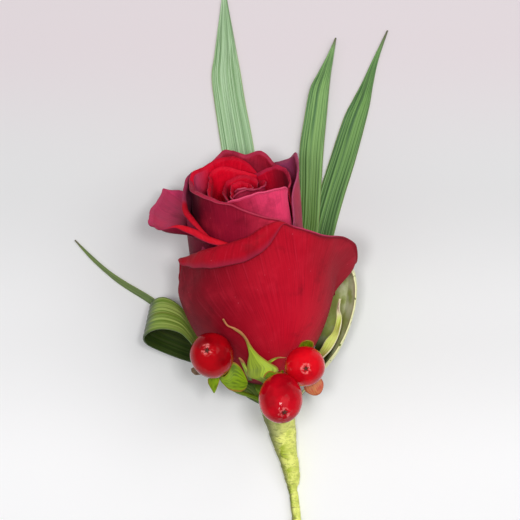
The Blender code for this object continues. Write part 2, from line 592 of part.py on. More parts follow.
for leftover in list(bpy.data.objects):
    bpy.data.objects.remove(leftover)
boutonniere = bpy.data.objects.new("boutonniere", None)
boutonniere.location = (-FOOTPRINT_MIDDLE[0] * MM, -FOOTPRINT_MIDDLE[1] * MM, 0.0)
bpy.context.scene.collection.objects.link(boutonniere)

make_bloom()
make_calyx()
make_blades()
make_loop()
make_berries()
make_cream_leaf()
make_tape()
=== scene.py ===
"""The looks of a boutonniere: a red rose with grass blades, a looped leaf, hypericum
berries and a cream-edged leaf, bound in lime floral tape. It lies on its back on a pale
table, the taped stem towards -Y.

Sizes are in millimetres, measured from the table under the base of the rose.
"""

import math

import bpy
from mathutils import Euler, Matrix, Vector, noise


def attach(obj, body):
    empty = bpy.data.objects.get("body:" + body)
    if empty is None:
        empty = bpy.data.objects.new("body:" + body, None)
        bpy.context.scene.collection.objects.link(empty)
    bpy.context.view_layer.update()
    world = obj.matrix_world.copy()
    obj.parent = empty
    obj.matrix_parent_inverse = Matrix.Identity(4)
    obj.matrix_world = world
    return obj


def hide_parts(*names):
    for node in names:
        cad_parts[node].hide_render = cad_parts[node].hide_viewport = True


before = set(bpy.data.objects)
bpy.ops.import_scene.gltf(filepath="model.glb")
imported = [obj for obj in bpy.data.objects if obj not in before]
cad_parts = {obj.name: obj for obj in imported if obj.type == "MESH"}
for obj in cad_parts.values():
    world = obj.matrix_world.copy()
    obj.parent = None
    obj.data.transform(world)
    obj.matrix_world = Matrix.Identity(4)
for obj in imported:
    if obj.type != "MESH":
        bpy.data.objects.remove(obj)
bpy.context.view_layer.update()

# ---------------------------------------------------------------- grass blades
# Three fresh grass blades lie flat under the rose: a pale one, a middle one and a darker one.
# A blade is a thin strip with a shallow gutter and fine ribs that run its whole length.

MM = 0.001
UNDER_ROSE = Vector((7.6, -25.8, 0.0))
LOOK_AHEAD = 0.01
LOWEST = 0.22


def along(stations, place):
    """The values of a smooth line through the stations, at a place from 0 to 1."""
    spans = len(stations) - 1
    index = min(int(place * spans), spans - 1)
    part = place * spans - index
    before = stations[max(index - 1, 0)]
    start = stations[index]
    end = stations[index + 1]
    after = stations[min(index + 2, spans)]
    values = []
    for a, b, c, d in zip(before, start, end, after):
        slope_in = 0.5 * (c - a)
        slope_out = 0.5 * (d - b)
        rise = c - b
        curve = part * (slope_in + part * (3 * rise - 2 * slope_in - slope_out
                                           + part * (slope_in + slope_out - 2 * rise)))
        values.append(b + curve)
    return values


def shaped_grid(name, surface, columns, rows, matter):
    """A grid whose points are moved onto surface(u, v); its UV map keeps u and v."""
    bpy.ops.object.select_all(action="DESELECT")
    bpy.ops.mesh.primitive_grid_add(x_subdivisions=columns, y_subdivisions=rows, size=1.0)
    piece = bpy.context.object
    piece.name = name
    for vertex in piece.data.vertices:
        point = surface(vertex.co.x + 0.5, vertex.co.y + 0.5)
        vertex.co = (point + UNDER_ROSE) * MM
    piece.data.materials.append(matter)
    piece.data.shade_smooth()
    return piece


def thicken(piece, thickness, other_side=0, subdivide=1):
    """Give a sheet its thickness and smooth it; other_side is its back's material."""
    wall = piece.modifiers.new("wall", "SOLIDIFY")
    wall.thickness = thickness * MM
    wall.offset = 0.0
    wall.material_offset = other_side
    if subdivide:
        smooth = piece.modifiers.new("smooth", "SUBSURF")
        smooth.levels = subdivide
        smooth.render_levels = subdivide
    for modifier in [each.name for each in piece.modifiers]:
        bpy.ops.object.modifier_apply(modifier=modifier)
    return piece


def finish(piece, slot, *nodes):
    """The piece moves with the flower and stands for its CAD nodes; its slot is not used."""
    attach(piece, "root")
    if nodes:
        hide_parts(*nodes)
    return piece


def leaf_surface(stations, keel=0.0, rib_count=0, rib_height=0.0, wave=None):
    """A strip through stations of a middle point and a half-width vector. keel lifts its
    middle, ribs run along it, and wave(side, v) lifts the rest. It stays above the table."""

    def surface(u, v):
        values = along(stations, v)
        ahead = along(stations, min(v + LOOK_AHEAD, 1.0))
        behind = along(stations, max(v - LOOK_AHEAD, 0.0))
        half = Vector(values[3:])
        run = Vector(ahead[:3]) - Vector(behind[:3])
        side = 2.0 * u - 1.0
        lift = keel * half.length * (1.0 - abs(side))
        if rib_count:
            taper = min(half.length / 2.0, 1.0)
            lift += rib_height * taper * math.cos(2.0 * math.pi * rib_count * u)
        if wave:
            lift += wave(side, v)
        point = Vector(values[:3]) + half * side + run.cross(half).normalized() * lift
        point.z = max(point.z, LOWEST)
        return point

    return surface


def linear(code):
    """An sRGB hex colour as linear red, green, blue and alpha."""
    channels = [int(code[i:i + 2], 16) / 255.0 for i in (1, 3, 5)]
    lit = [c / 12.92 if c <= 0.04045 else ((c + 0.055) / 1.055) ** 2.4 for c in channels]
    return (*lit, 1.0)


def new_material(name):
    made = bpy.data.materials.new(name)
    made.use_nodes = True
    return made, made.node_tree.nodes["Principled BSDF"]


COLOUR_MIX = {"data_type": "RGBA"}
SMOOTH = {"interpolation_type": "SMOOTHSTEP"}
TIMES = {"operation": "MULTIPLY"}
MINUS = {"operation": "SUBTRACT"}


def feed(matter, node, **inputs):
    """Set a node's inputs, each named as its socket with _ for a space, or by n and its
    number. Each gets a number, numbers, a hex colour, or another node or its output."""
    for key, value in inputs.items():
        if key[0] == "n" and key[1:].isdigit():
            socket = node.inputs[int(key[1:])]
        else:
            name = key.replace("_", " ")
            socket = next(each for each in node.inputs if each.enabled and each.name == name)
        if isinstance(value, bpy.types.Node):
            value = next(each for each in value.outputs if each.enabled)
        if isinstance(value, bpy.types.NodeSocket):
            matter.node_tree.links.new(value, socket)
        else:
            socket.default_value = linear(value) if isinstance(value, str) else value


def add(matter, kind, settings=None, **inputs):
    """Add a node to a material, with its settings and what feeds its inputs."""
    node = matter.node_tree.nodes.new("ShaderNode" + kind)
    for key, value in (settings or {}).items():
        setattr(node, key, value)
    feed(matter, node, **inputs)
    return node


def tint(matter, body, colour, strength, *zones):
    """Lay a colour over another. It is full where every zone's source has passed from the
    zone's first value to its second."""
    share = strength
    for source, nothing, full in zones:
        zone = add(matter, "MapRange", SMOOTH, Value=source, From_Min=nothing, From_Max=full)
        share = add(matter, "Math", TIMES, n0=share, n1=zone)
    return add(matter, "Mix", COLOUR_MIX, A=body, B=colour, Factor=share)


def own_map(matter):
    """A piece's own UV map, and the places across and along it."""
    flat = add(matter, "UVMap")
    place = add(matter, "SeparateXYZ", Vector=flat)
    return flat, place.outputs["X"], place.outputs["Y"]


def off_middle(matter, across):
    """How far a place is off the middle of a piece's width: 0 there, 0.5 at its edges."""
    aside = add(matter, "Math", MINUS, n0=across, n1=0.5)
    return add(matter, "Math", {"operation": "ABSOLUTE"}, n0=aside)


def grass_green(name, pale, deep, foot, ribs):
    """A grass blade: waxy half-gloss skin over parallel veins. Pale and deep lines
    alternate, it is deeper green towards its foot, and its margins and tip are dry. The
    veins, 0.2 mm apart, are drawn about twice as coarse so that they show."""
    matter, shader = new_material(name)
    flat, across, up = own_map(matter)
    edge = off_middle(matter, across)
    lines = add(matter, "Mapping", Vector=flat, Scale=(ribs, 1.2, 1.0))
    streak = add(matter, "TexNoise", Vector=lines, Scale=2.0, Detail=4.0, Roughness=0.7)
    fine = add(matter, "Mapping", Vector=flat, Scale=(1.6 * ribs, 1.5, 1.0))
    hair = add(matter, "TexNoise", Vector=fine, Scale=2.0, Detail=2.0)
    body = tint(matter, deep, pale, 1.0, (streak, 0.42, 0.58))
    body = tint(matter, body, foot, 1.0, (up, 0.72, 0.34))
    body = tint(matter, body, pale, 1.0, (hair, 0.54, 0.66))
    body = tint(matter, body, "#24401c", 0.42, (hair, 0.48, 0.36))
    body = tint(matter, body, "#5c4a3c", 0.75, (up, 0.93, 0.99))
    body = tint(matter, body, "#c9c98a", 0.55, (edge, 0.465, 0.5))
    bump = add(matter, "Bump", Strength=0.35, Distance=0.2 * MM, Height=streak)
    feed(matter, shader, Base_Color=body, Normal=bump, Roughness=0.48, IOR=1.42)
    return matter


def grip(angle, half_width, inset):
    """The two stations where a flat leaf is held in the tape, deepest first."""
    turn = math.radians(angle)
    half = Vector((-math.sin(turn), 0.0, math.cos(turn))) * half_width
    return [(*held_point(y, angle, inset), *half) for y in (HELD_END, HELD_MOUTH)]


TAPE_LINE = (
    (3.9, -7.0, 4.4), (4.6, -11.2, 3.65), (5.4, -15.1, 3.1), (6.2, -18.8, 2.5),
    (7.2, -22.6, 2.1), (7.5, -25.2, 1.78), (7.6, -27.2, 1.2), (8.0, -30.1, 1.12),
    (8.65, -35.0, 1.12), (9.2, -41.0, 1.15), (9.4, -46.5, 1.05))
TAPE_WALL = 0.6
TAPE_CLEARANCE = 0.2
HELD_END = -10.5
HELD_MOUTH = -7.0
BLADE_INSET = 0.68
BLADE_THICKNESS = 0.3
RIB_HEIGHT = 0.05


def tape_section(place):
    """The tape's middle and outer radius, at a place from 0 at the mouth to 1."""
    x, y, radius = along(TAPE_LINE, place)
    return Vector((x, y, radius + TAPE_CLEARANCE)), radius


def held_point(y, angle, inset):
    """A point inside the tape at y: inset from its bore's wall, on the side at an angle."""
    place = min(range(101), key=lambda step: abs(tape_section(step / 100)[0].y - y)) / 100
    middle, radius = tape_section(place)
    reach = radius - TAPE_WALL - inset
    turn = math.radians(angle)
    return middle + Vector((reach * math.cos(turn), y - middle.y, reach * math.sin(turn)))


LEFT_BLADE = (
    (2.0, -2.0, 0.9, 1.1, 0.15, 0.0), (1.2, 4.0, 0.35, 1.9, 0.25, 0.0),
    (-1.2, 22.0, 0.35, 3.3, 0.47, 0.0), (-3.9, 42.0, 0.35, 3.9, 0.5, 0.0),
    (-5.95, 56.5, 0.35, 3.95, 0.5, 0.0), (-7.9, 68.0, 0.35, 3.75, 0.4, 0.0),
    (-8.85, 75.0, 0.35, 3.6, 0.3, 0.0), (-8.95, 80.0, 0.35, 2.8, 0.1, 0.0),
    (-9.1, 86.0, 0.35, 1.85, 0.0, 0.0), (-9.3, 93.7, 0.35, 0.6, 0.0, 0.0),
    (-9.35, 98.1, 0.35, 0.1, 0.0, 0.0))
MIDDLE_BLADE = (
    (5.2, 0.0, 1.5, 1.0, 0.0, 0.0), (5.7, 5.0, 1.5, 1.6, -0.1, 0.0),
    (8.4, 22.0, 1.5, 2.4, -0.4, 0.0), (11.2, 36.0, 1.5, 2.5, -0.3, 0.0),
    (11.9, 46.0, 1.5, 2.65, 0.0, 0.0), (12.25, 56.2, 1.5, 2.95, 0.0, 0.0),
    (13.3, 65.0, 1.5, 2.7, 0.0, 0.0), (14.25, 71.6, 1.5, 2.35, 0.0, 0.0),
    (15.5, 75.6, 1.5, 1.55, 0.0, 0.0), (17.0, 80.0, 1.5, 0.75, 0.0, 0.0),
    (18.25, 84.2, 1.5, 0.1, 0.0, 0.0))
RIGHT_BLADE = (
    (8.2, -0.5, 1.1, 0.9, 0.0, 0.3), (9.5, 6.0, 0.35, 1.4, -0.3, 0.0),
    (12.0, 22.0, 0.35, 2.6, -0.5, 0.0), (14.8, 36.0, 0.35, 3.0, -0.6, 0.0),
    (17.1, 44.8, 0.35, 3.0, -0.7, 0.0), (20.05, 54.3, 0.35, 2.95, -0.8, 0.0),
    (22.9, 63.7, 0.35, 2.65, -0.7, 0.0), (24.6, 68.4, 0.35, 2.1, -0.5, 0.0),
    (26.1, 72.8, 0.35, 1.35, -0.3, 0.0), (28.15, 78.9, 0.35, 0.65, -0.1, 0.0),
    (31.1, 86.1, 0.35, 0.1, 0.0, 0.0))
STRAND = (
    (-3.6, -2.0, 0.9, 0.3, 0.4, 0.0), (-10.0, 4.6, 0.3, 0.5, 0.6, 0.0),
    (-20.0, 13.2, 0.3, 0.5, 0.7, 0.0), (-27.0, 18.9, 0.3, 0.5, 0.7, 0.0),
    (-34.2, 23.4, 0.3, 0.4, 0.6, 0.0), (-38.3, 26.4, 0.3, 0.3, 0.45, 0.0),
    (-42.3, 30.0, 0.3, 0.25, 0.35, 0.0), (-46.3, 34.2, 0.3, 0.1, 0.1, 0.0))

GRASSES = {
    "blade_left": (LEFT_BLADE, 249, 0.55, 14, "#b0d0a4", "#7ca46c", "#8cb482", "pale_blade"),
    "blade_middle": (MIDDLE_BLADE, 284, 0.55, 8, "#84b062", "#44743a", "#507a16", "mid_blade"),
    "blade_right": (RIGHT_BLADE, 318, 0.55, 8, "#72a050", "#30602a", "#306010", "dark_blade"),
    "grass_strand": (STRAND, 220, 0.35, 3, "#6c8232", "#4e6622", "#4c6c20", "dark_blade"),
}
for name, (path, angle, width, ribs, pale, deep, foot, slot) in GRASSES.items():
    grass = grass_green(name + "_grass", pale, deep, foot, ribs)
    surface = leaf_surface(grip(angle, width, BLADE_INSET) + list(path), keel=-0.07,
                           rib_count=ribs, rib_height=RIB_HEIGHT)
    blade = shaped_grid(name + "_fine", surface, 8 * ribs, 90, grass)
    finish(thicken(blade, BLADE_THICKNESS, subdivide=0), slot, name)

# ---------------------------------------------------------------- looped leaf
# A wide striped leaf leaves the tape, bends round and is bound in again. It is soft and
# glossy, with paler stripes along it, and has painted shade inside the loop and beside the rose.

LOOP_UNDER = (
    (-3.9, -3.4, 4.6, -0.3, -0.6, 0.6), (-8.1, 2.4, 4.4, -0.2, -1.5, 1.2),
    (-14.5, 6.6, 3.8, 0.0, -3.4, 2.0), (-20.1, 9.0, 3.9, 0.0, -4.0, 2.3),
    (-24.7, 11.0, 4.9, -0.3, -4.05, 2.35), (-27.4, 12.7, 8.0, -0.8, -4.0, 2.35),
    (-28.0, 14.4, 11.3, -0.8, -4.0, 2.35), (-26.2, 16.0, 14.4, -0.7, -3.95, 2.35),
    (-23.5, 16.3, 15.4, -0.4, -3.7, 2.35), (-20.0, 14.9, 15.1, 0.0, -3.15, 2.2),
    (-17.7, 12.3, 14.5, 0.0, -2.5, 2.0), (-16.2, 9.7, 13.5, -0.3, -1.6, 1.6),
    (-14.2, 6.0, 12.4, -0.8, -0.9, 1.2), (-9.8, 1.7, 10.7, -0.7, -1.0, 0.7),
    (-5.8, -0.9, 9.2, -0.6, -1.2, 0.6), (-2.8, -2.4, 8.2, -0.5, -2.0, 0.6),
    (-0.6, -5.2, 7.1, -0.4, -0.6, 0.3))


def striped_leaf():
    """A smooth lily-grass leaf with a waxy gloss: olive with paler and brownish stripes about
    0.5 mm wide. Where it turns in under itself, and on its way back beside the rose, it has painted
    shade."""
    matter, shader = new_material("lily_grass_leaf")
    flat, across, up = own_map(matter)
    edge = off_middle(matter, across)
    lines = add(matter, "Mapping", Vector=flat, Scale=(9.0, 0.7, 1.0))
    streak = add(matter, "TexNoise", Vector=lines, Scale=2.0, Detail=5.0, Roughness=0.65)
    wide = add(matter, "Mapping", Vector=flat, Scale=(3.0, 2.0, 1.0))
    patch = add(matter, "TexNoise", Vector=wide, Scale=1.5, Detail=2.0)
    body = tint(matter, "#5c7c1c", "#a0b45c", 1.0, (streak, 0.36, 0.62))
    body = tint(matter, body, "#c0cc84", 1.0, (streak, 0.62, 0.75))
    body = tint(matter, body, "#7d6a30", 0.5, (patch, 0.62, 0.75))
    # Painted shade on its last stretch back to the tape, beside the rose.
    body = tint(matter, body, "#34501a", 0.55, (up, 0.60, 0.74))
    # Painted shade where it turns in under itself, inside the loop.
    body = tint(matter, body, "#0c2606", 0.88, (up, 0.47, 0.40))
    body = tint(matter, body, "#2f4a14", 0.6, (edge, 0.44, 0.5))
    bump = add(matter, "Bump", Strength=0.3, Distance=0.2 * MM, Height=streak)
    feed(matter, shader, Base_Color=body, Normal=bump, Roughness=0.36, Specular_IOR_Level=0.3)
    return matter


def turned(stations):
    """The same strip, face down."""
    return [(*values[:3], -values[3], -values[4], -values[5]) for values in stations]


LOOP_HALF_WIDTH = 0.45
LOOP_INSET = 0.8
LOOP_THICKNESS = 0.35
loop_start, loop_end = (turned(grip(angle, LOOP_HALF_WIDTH, LOOP_INSET)) for angle in (190, 160))
loop_surface = leaf_surface(loop_start + list(LOOP_UNDER) + loop_end[::-1], 0.0, 7, RIB_HEIGHT)
loop = shaped_grid("looped_leaf", loop_surface, 56, 130, striped_leaf())
finish(thicken(loop, LOOP_THICKNESS, subdivide=0), "striped_leaf", "leaf_loop")

# ---------------------------------------------------------------- rose bloom
# The rose: petals rooted in a tight heart, each folded round the next one in. The outer
# petals' rims roll outwards, so that their bright inner faces show. A petal is 0.4 mm thick.

BLOOM_BASE = Vector((1.2, -0.4, 7.0))
BLOOM_RISE = math.radians(30)
BLOOM_LEAN = math.radians(6)
BLOOM_RADIUS = 19.8
BLOOM_SHOULDER = 38.0
BLOOM_DEPTH = 0.93
LIP_FALL = 1.5
LEAST_LIP_LENGTH = 1.2
LEAST_TURN = 20.0
PETAL_THICKNESS = 0.4
CORE_SHARE = 0.97

bloom_place = (Matrix.Translation(BLOOM_BASE) @ Matrix.Rotation(BLOOM_LEAN, 4, "Z")
               @ Matrix.Rotation(-(math.pi / 2 - BLOOM_RISE), 4, "X"))


def smooth_step(value):
    """0 below 0, 1 above 1, smooth between them."""
    value = min(max(value, 0.0), 1.0)
    return value * value * (3.0 - 2.0 * value)


def bloom_radius(height):
    """The outline of the cup: it swells from the base to the shoulder."""
    fill = 1.0 - (1.0 - min(height / BLOOM_SHOULDER, 1.0)) ** 2
    return BLOOM_RADIUS * fill ** 0.6


def bloom_point(angle, radius, height):
    """A point on the bloom's own axes: 90 degrees is its front, +Z its axis."""
    turn = math.radians(angle)
    return Vector((radius * math.cos(turn), -radius * BLOOM_DEPTH * math.sin(turn), height))


def petal_surface(layer, root, flare, lip_start, rim, ruffle, seed):
    """The surface of a petal. It follows the cup, scaled by its layer, up to the share of
    its length where it flares. Its rim runs through stations of an angle, a radius, a
    height, the radius of its rolled lip and how far the lip turns."""

    walked = [0.0]
    for before, after in zip(rim, rim[1:]):
        one = bloom_point(*before[:3])
        two = bloom_point(*after[:3])
        walked.append(walked[-1] + (two - one).length)

    def rim_place(u):
        """The place along the stations at a share of the rim's length."""
        reached = u * walked[-1]
        span = max(i for i in range(len(rim) - 1) if walked[i] <= reached)
        part = (reached - walked[span]) / (walked[span + 1] - walked[span])
        return (span + part) / (len(rim) - 1)

    def meridian(share, radius, height):
        """The radius and level at a share of the way from the root to the rim."""
        level = root + (height - root) * share
        spread = radius - layer * bloom_radius(height)
        opened = spread * smooth_step((share - flare) / (1.0 - flare))
        return layer * bloom_radius(level) + opened, level

    def surface(u, v):
        angle, radius, height, lip, turn = along(rim, rim_place(u))
        turn = math.radians(max(turn, LEAST_TURN))
        lip = max(lip, LEAST_LIP_LENGTH / turn)
        top = height - lip * math.sin(min(turn, math.pi / 2))
        neck = radius - lip * (1.0 - math.cos(min(turn, math.pi / 2)))
        share = min(v / lip_start, 1.0)
        r, h = meridian(share, neck, top)
        if v > lip_start:
            r0, h0 = meridian(0.94, neck, top)
            rise = Vector((r - r0, h - h0)).normalized()
            out = Vector((rise.y, -rise.x))
            bend = turn * (v - lip_start) / (1.0 - lip_start)
            r += lip * (rise.x * math.sin(bend) + out.x * (1.0 - math.cos(bend)))
            h += lip * (rise.y * math.sin(bend) + out.y * (1.0 - math.cos(bend)))
            h -= LIP_FALL * lip * max(bend / (math.pi / 2) - 1.0, 0.0) ** 2
        middle = 0.5 * (rim[0][0] + rim[-1][0])
        narrow = 0.72 + 0.28 * smooth_step(1.6 * share)
        spot = Vector((angle * 0.06, h * 0.12, seed))
        r += ruffle * share ** 3 * noise.noise(spot)
        h += 0.7 * ruffle * share ** 6 * noise.noise(spot * 2.3)
        r += 0.5 * ruffle * share ** 9 * noise.noise(spot * 6.0)
        return bloom_place @ bloom_point(middle + (angle - middle) * narrow, r, h)

    return surface


# layer, root height, flare and lip shares, and the rim: angle, radius, height, lip, turn.
PETALS = {
    "front": (1.0, 0.6, 0.74, 0.73, (
        (192.1, 18.6, 25, 0.4, 30), (181.5, 18.5, 31, 0.4, 40), (173.4, 18.4, 35.6, 0.4, 60),
        (169.1, 18.3, 38.4, 0.6, 120), (158.5, 17.6, 40.4, 1.2, 160),
        (145.7, 17.4, 42.6, 1.7, 168), (119.7, 19, 47.2, 2.3, 170), (99.9, 20.3, 50.2, 2.5, 170),
        (91, 20.2, 51.4, 2.5, 170), (83.9, 20.1, 52.6, 2.4, 168), (76.7, 19.8, 53.4, 2, 165),
        (69.4, 19.1, 53.2, 1.3, 140), (64.3, 18.7, 52.4, 0.7, 110), (58.3, 19.3, 51, 0.7, 115),
        (51.6, 20.7, 49.6, 0.8, 120), (37.4, 21.8, 46.2, 0.9, 115), (22.7, 23.3, 43, 0.8, 90),
        (14.7, 24.5, 40, 0.7, 70), (10, 24.9, 36.4, 0.5, 50), (5.1, 23.9, 32.2, 0.4, 30),
        (-0.5, 20.6, 29.8, 0.4, 20), (-9.7, 18.2, 26, 0.4, 20))),
    "back": (0.95, 0.8, 0.5, 0.71, (
        (362, 18.4, 23, 0.4, 40), (342, 18.8, 27, 0.7, 90), (318, 19, 31, 0.9, 120),
        (292, 19.2, 37, 1.1, 140), (270, 19.4, 43, 1.2, 140), (248, 19.4, 43, 1.2, 140),
        (228, 19, 33, 0.9, 120), (208, 18.6, 26, 0.6, 90), (184, 18.2, 23, 0.4, 40))),
    "left_wing": (0.76, 28, 0.80, 0.75, (
        (235.3, 18.2, 44.0, 0.4, 20), (229.6, 23.3, 46.6, 0.3, 30), (225.7, 25.1, 47.2, 0.3, 40),
        (223.5, 26.0, 47.6, 0.2, 40), (223.4, 27.1, 47.8, 0.2, 40), (220.3, 26.1, 47.8, 0.2, 40),
        (214.3, 24.6, 48.0, 0.3, 40), (203.5, 23.3, 48.8, 0.3, 40), (191.4, 23.0, 49.6, 0.3, 40),
        (177.6, 23.0, 50.6, 0.3, 40), (166.7, 23.9, 51.2, 0.3, 40), (163.1, 23.9, 51.2, 0.2, 40),
        (161.4, 23.3, 51.2, 0.2, 40), (157.1, 23.2, 51.2, 0.3, 45), (152.6, 22.2, 51.4, 0.4, 70),
        (150.2, 20.4, 51.6, 0.5, 110), (145.5, 18.9, 51.4, 0.7, 140), (139.5, 17.8, 50.8, 0.75, 150),
        (128.8, 17.1, 49.6, 0.78, 150), (116.9, 16.7, 48.6, 0.75, 150),
        (106.8, 16.2, 47.4, 0.7, 140), (95.5, 16.0, 46.4, 0.6, 120), (79.9, 16.2, 45.4, 0.5, 70))),
    "left_inner": (0.76, 22.0, 0.5, 0.67, (
        (218.1, 16.1, 55, 0.4, 60), (205.4, 15.4, 55.6, 0.4, 60), (188.5, 15.2, 54.4, 0.5, 80),
        (171.6, 15.5, 53.2, 0.7, 110), (152.1, 15.7, 52.0, 0.8, 140), (135, 15.6, 49.0, 0.6, 120),
        (116, 15.2, 44.4, 0.5, 80))),
    "bud_front": (0.71, 24.0, 0.5, 0.67, (
        (211.3, 15, 55.4, 0.4, 60), (194.8, 13.9, 56, 0.6, 90), (170.3, 13.3, 57, 0.9, 115),
        (143, 14, 58.3, 1.0, 120), (122.8, 14.1, 57.9, 0.9, 120), (105.8, 13.8, 56.6, 0.8, 105),
        (89.9, 13.7, 54.7, 0.5, 80), (71.9, 13.9, 52.6, 0.5, 70), (55.1, 13.9, 50, 0.5, 70),
        (38.7, 12.9, 45, 0.3, 30))),
    "right": (0.62, 22.0, 0.4, 0.67, (
        (46.5, 12.4, 41, 0.3, 20), (35.8, 12.3, 47, 0.4, 30), (23.8, 11.9, 53, 0.4, 40),
        (8.5, 12.3, 57, 0.4, 40), (-11.3, 13.3, 58.2, 0.4, 40), (-28.1, 14.4, 59, 0.3, 50),
        (-39.3, 14.2, 56.4, 0.4, 60), (-49, 14.3, 55.2, 0.4, 60), (-60.7, 14.8, 54, 0.3, 50))),
    "bud_back": (0.75, 24.0, 0.5, 0.67, (
        (313.3, 14.6, 51, 0.3, 40), (306.9, 14.2, 53, 0.4, 50), (301.5, 13.6, 54.8, 0.5, 70),
        (295.9, 13.9, 56, 0.6, 90), (291.2, 14, 56.8, 0.6, 90), (284.9, 14.4, 56.9, 0.6, 90),
        (278.7, 14.4, 56.2, 0.6, 85), (272.8, 14.4, 55.8, 0.5, 80), (265.6, 14.8, 56.6, 0.6, 90),
        (258.9, 14.2, 57.8, 0.6, 90), (252.6, 13.9, 58.4, 0.6, 90), (246.9, 14.2, 57.8, 0.6, 85),
        (238.8, 14, 56.6, 0.5, 80), (227.9, 14.7, 55.4, 0.4, 60), (210.1, 14.5, 54, 0.3, 40))),
    "second_left": (0.62, 26.0, 0.5, 0.67, (
        (290, 11.6, 51, 0.3, 40), (281.3, 11.7, 53.4, 0.4, 60), (273.8, 11.8, 55.2, 0.4, 70),
        (262.7, 11.7, 56.8, 0.5, 80), (249.5, 11.7, 57.7, 0.5, 90), (236.6, 11.9, 57.7, 0.5, 90),
        (224.2, 12.2, 57.4, 0.5, 90), (213.9, 13, 57.2, 0.5, 80), (205.6, 14, 57, 0.4, 70),
        (197.5, 13.9, 56.2, 0.4, 70), (189.2, 13.2, 54.5, 0.3, 50))),
    "third_left": (0.52, 27.0, 0.5, 0.67, (
        (292, 7.6, 53.8, 0.3, 50), (278.3, 6.9, 54.8, 0.4, 70), (259.9, 7.5, 55.4, 0.4, 70),
        (244.8, 8.6, 56.2, 0.5, 80), (235.8, 10, 56.4, 0.5, 80), (226.9, 10.8, 56.2, 0.5, 80),
        (216.7, 10.5, 55.8, 0.4, 70), (199.3, 9.5, 55.4, 0.4, 70), (173.3, 9.3, 55.4, 0.4, 70),
        (153.5, 9.8, 54.6, 0.3, 50))),
    "third_right": (0.6, 26.0, 0.5, 0.67, (
        (377.7, 10.9, 55, 0.3, 40), (364.3, 10.6, 55.6, 0.4, 50), (342.7, 10.7, 55.8, 0.4, 60),
        (328.5, 11.2, 56, 0.4, 70), (320.2, 10.8, 56, 0.4, 70), (310.8, 10.1, 55.4, 0.5, 80),
        (301.2, 9.2, 54.8, 0.4, 70), (289.3, 8.7, 53.8, 0.4, 70), (277.1, 8.9, 52.4, 0.3, 50))),
    "heart_front": (0.57, 26.0, 0.5, 0.67, (
        (132, 11, 53.8, 0.3, 50), (117.7, 11.2, 56, 0.4, 70), (103.3, 11.6, 57.2, 0.4, 70),
        (91.4, 11.4, 57.8, 0.4, 70), (77.8, 11.1, 58.1, 0.4, 70), (58.4, 11.3, 57.9, 0.4, 70),
        (40.3, 11.6, 57.2, 0.4, 60), (29.3, 11.4, 55.4, 0.4, 50), (21.6, 10.3, 51, 0.3, 40),
        (17.2, 9.3, 47, 0.3, 20))),
    "heart_left": (0.34, 28.0, 0.4, 0.6, (
        (309.3, 4.9, 53.6, 0.3, 50), (292.6, 5.4, 54.4, 0.3, 60), (272.4, 5.3, 55, 0.3, 70),
        (252.3, 5.6, 55, 0.3, 70), (236.9, 6.2, 54.6, 0.3, 70), (223.5, 6.5, 54, 0.3, 70),
        (202.4, 5.8, 53.8, 0.3, 70), (160.4, 5.9, 54.2, 0.3, 70), (136, 6.4, 53.6, 0.3, 50))),
    "heart_right": (0.32, 28.0, 0.4, 0.6, (
        (503, 4.5, 53.4, 0.3, 50), (487.9, 3.8, 54.6, 0.3, 60), (457, 3.1, 55.2, 0.3, 70),
        (424.4, 4.1, 55.4, 0.3, 70), (395.8, 4.5, 55.2, 0.3, 70), (360.2, 4.8, 54.8, 0.3, 70),
        (323.6, 5.4, 54.2, 0.3, 70), (295.5, 6.3, 53, 0.3, 50))),
    "whorl": (0.22, 28.0, 0.4, 0.6, (
        (543.5, 3, 53.6, 0.2, 60), (526.1, 2.1, 54.4, 0.3, 80), (471.3, 0.9, 54.6, 0.3, 80),
        (389.9, 1.2, 54.2, 0.2, 70), (302.6, 2.4, 53.8, 0.2, 70), (272.7, 3.5, 54, 0.2, 70),
        (252.1, 4.4, 54, 0.2, 70), (233.8, 4.6, 53.8, 0.2, 70), (207.2, 4.2, 53.6, 0.2, 70),
        (172.1, 4, 53.4, 0.2, 70), (141, 4.3, 52.8, 0.2, 50))),
}


# Veins are about 0.55 mm apart at a petal's rim.
VEIN_PITCH = 0.55
PLUS = {"operation": "ADD"}


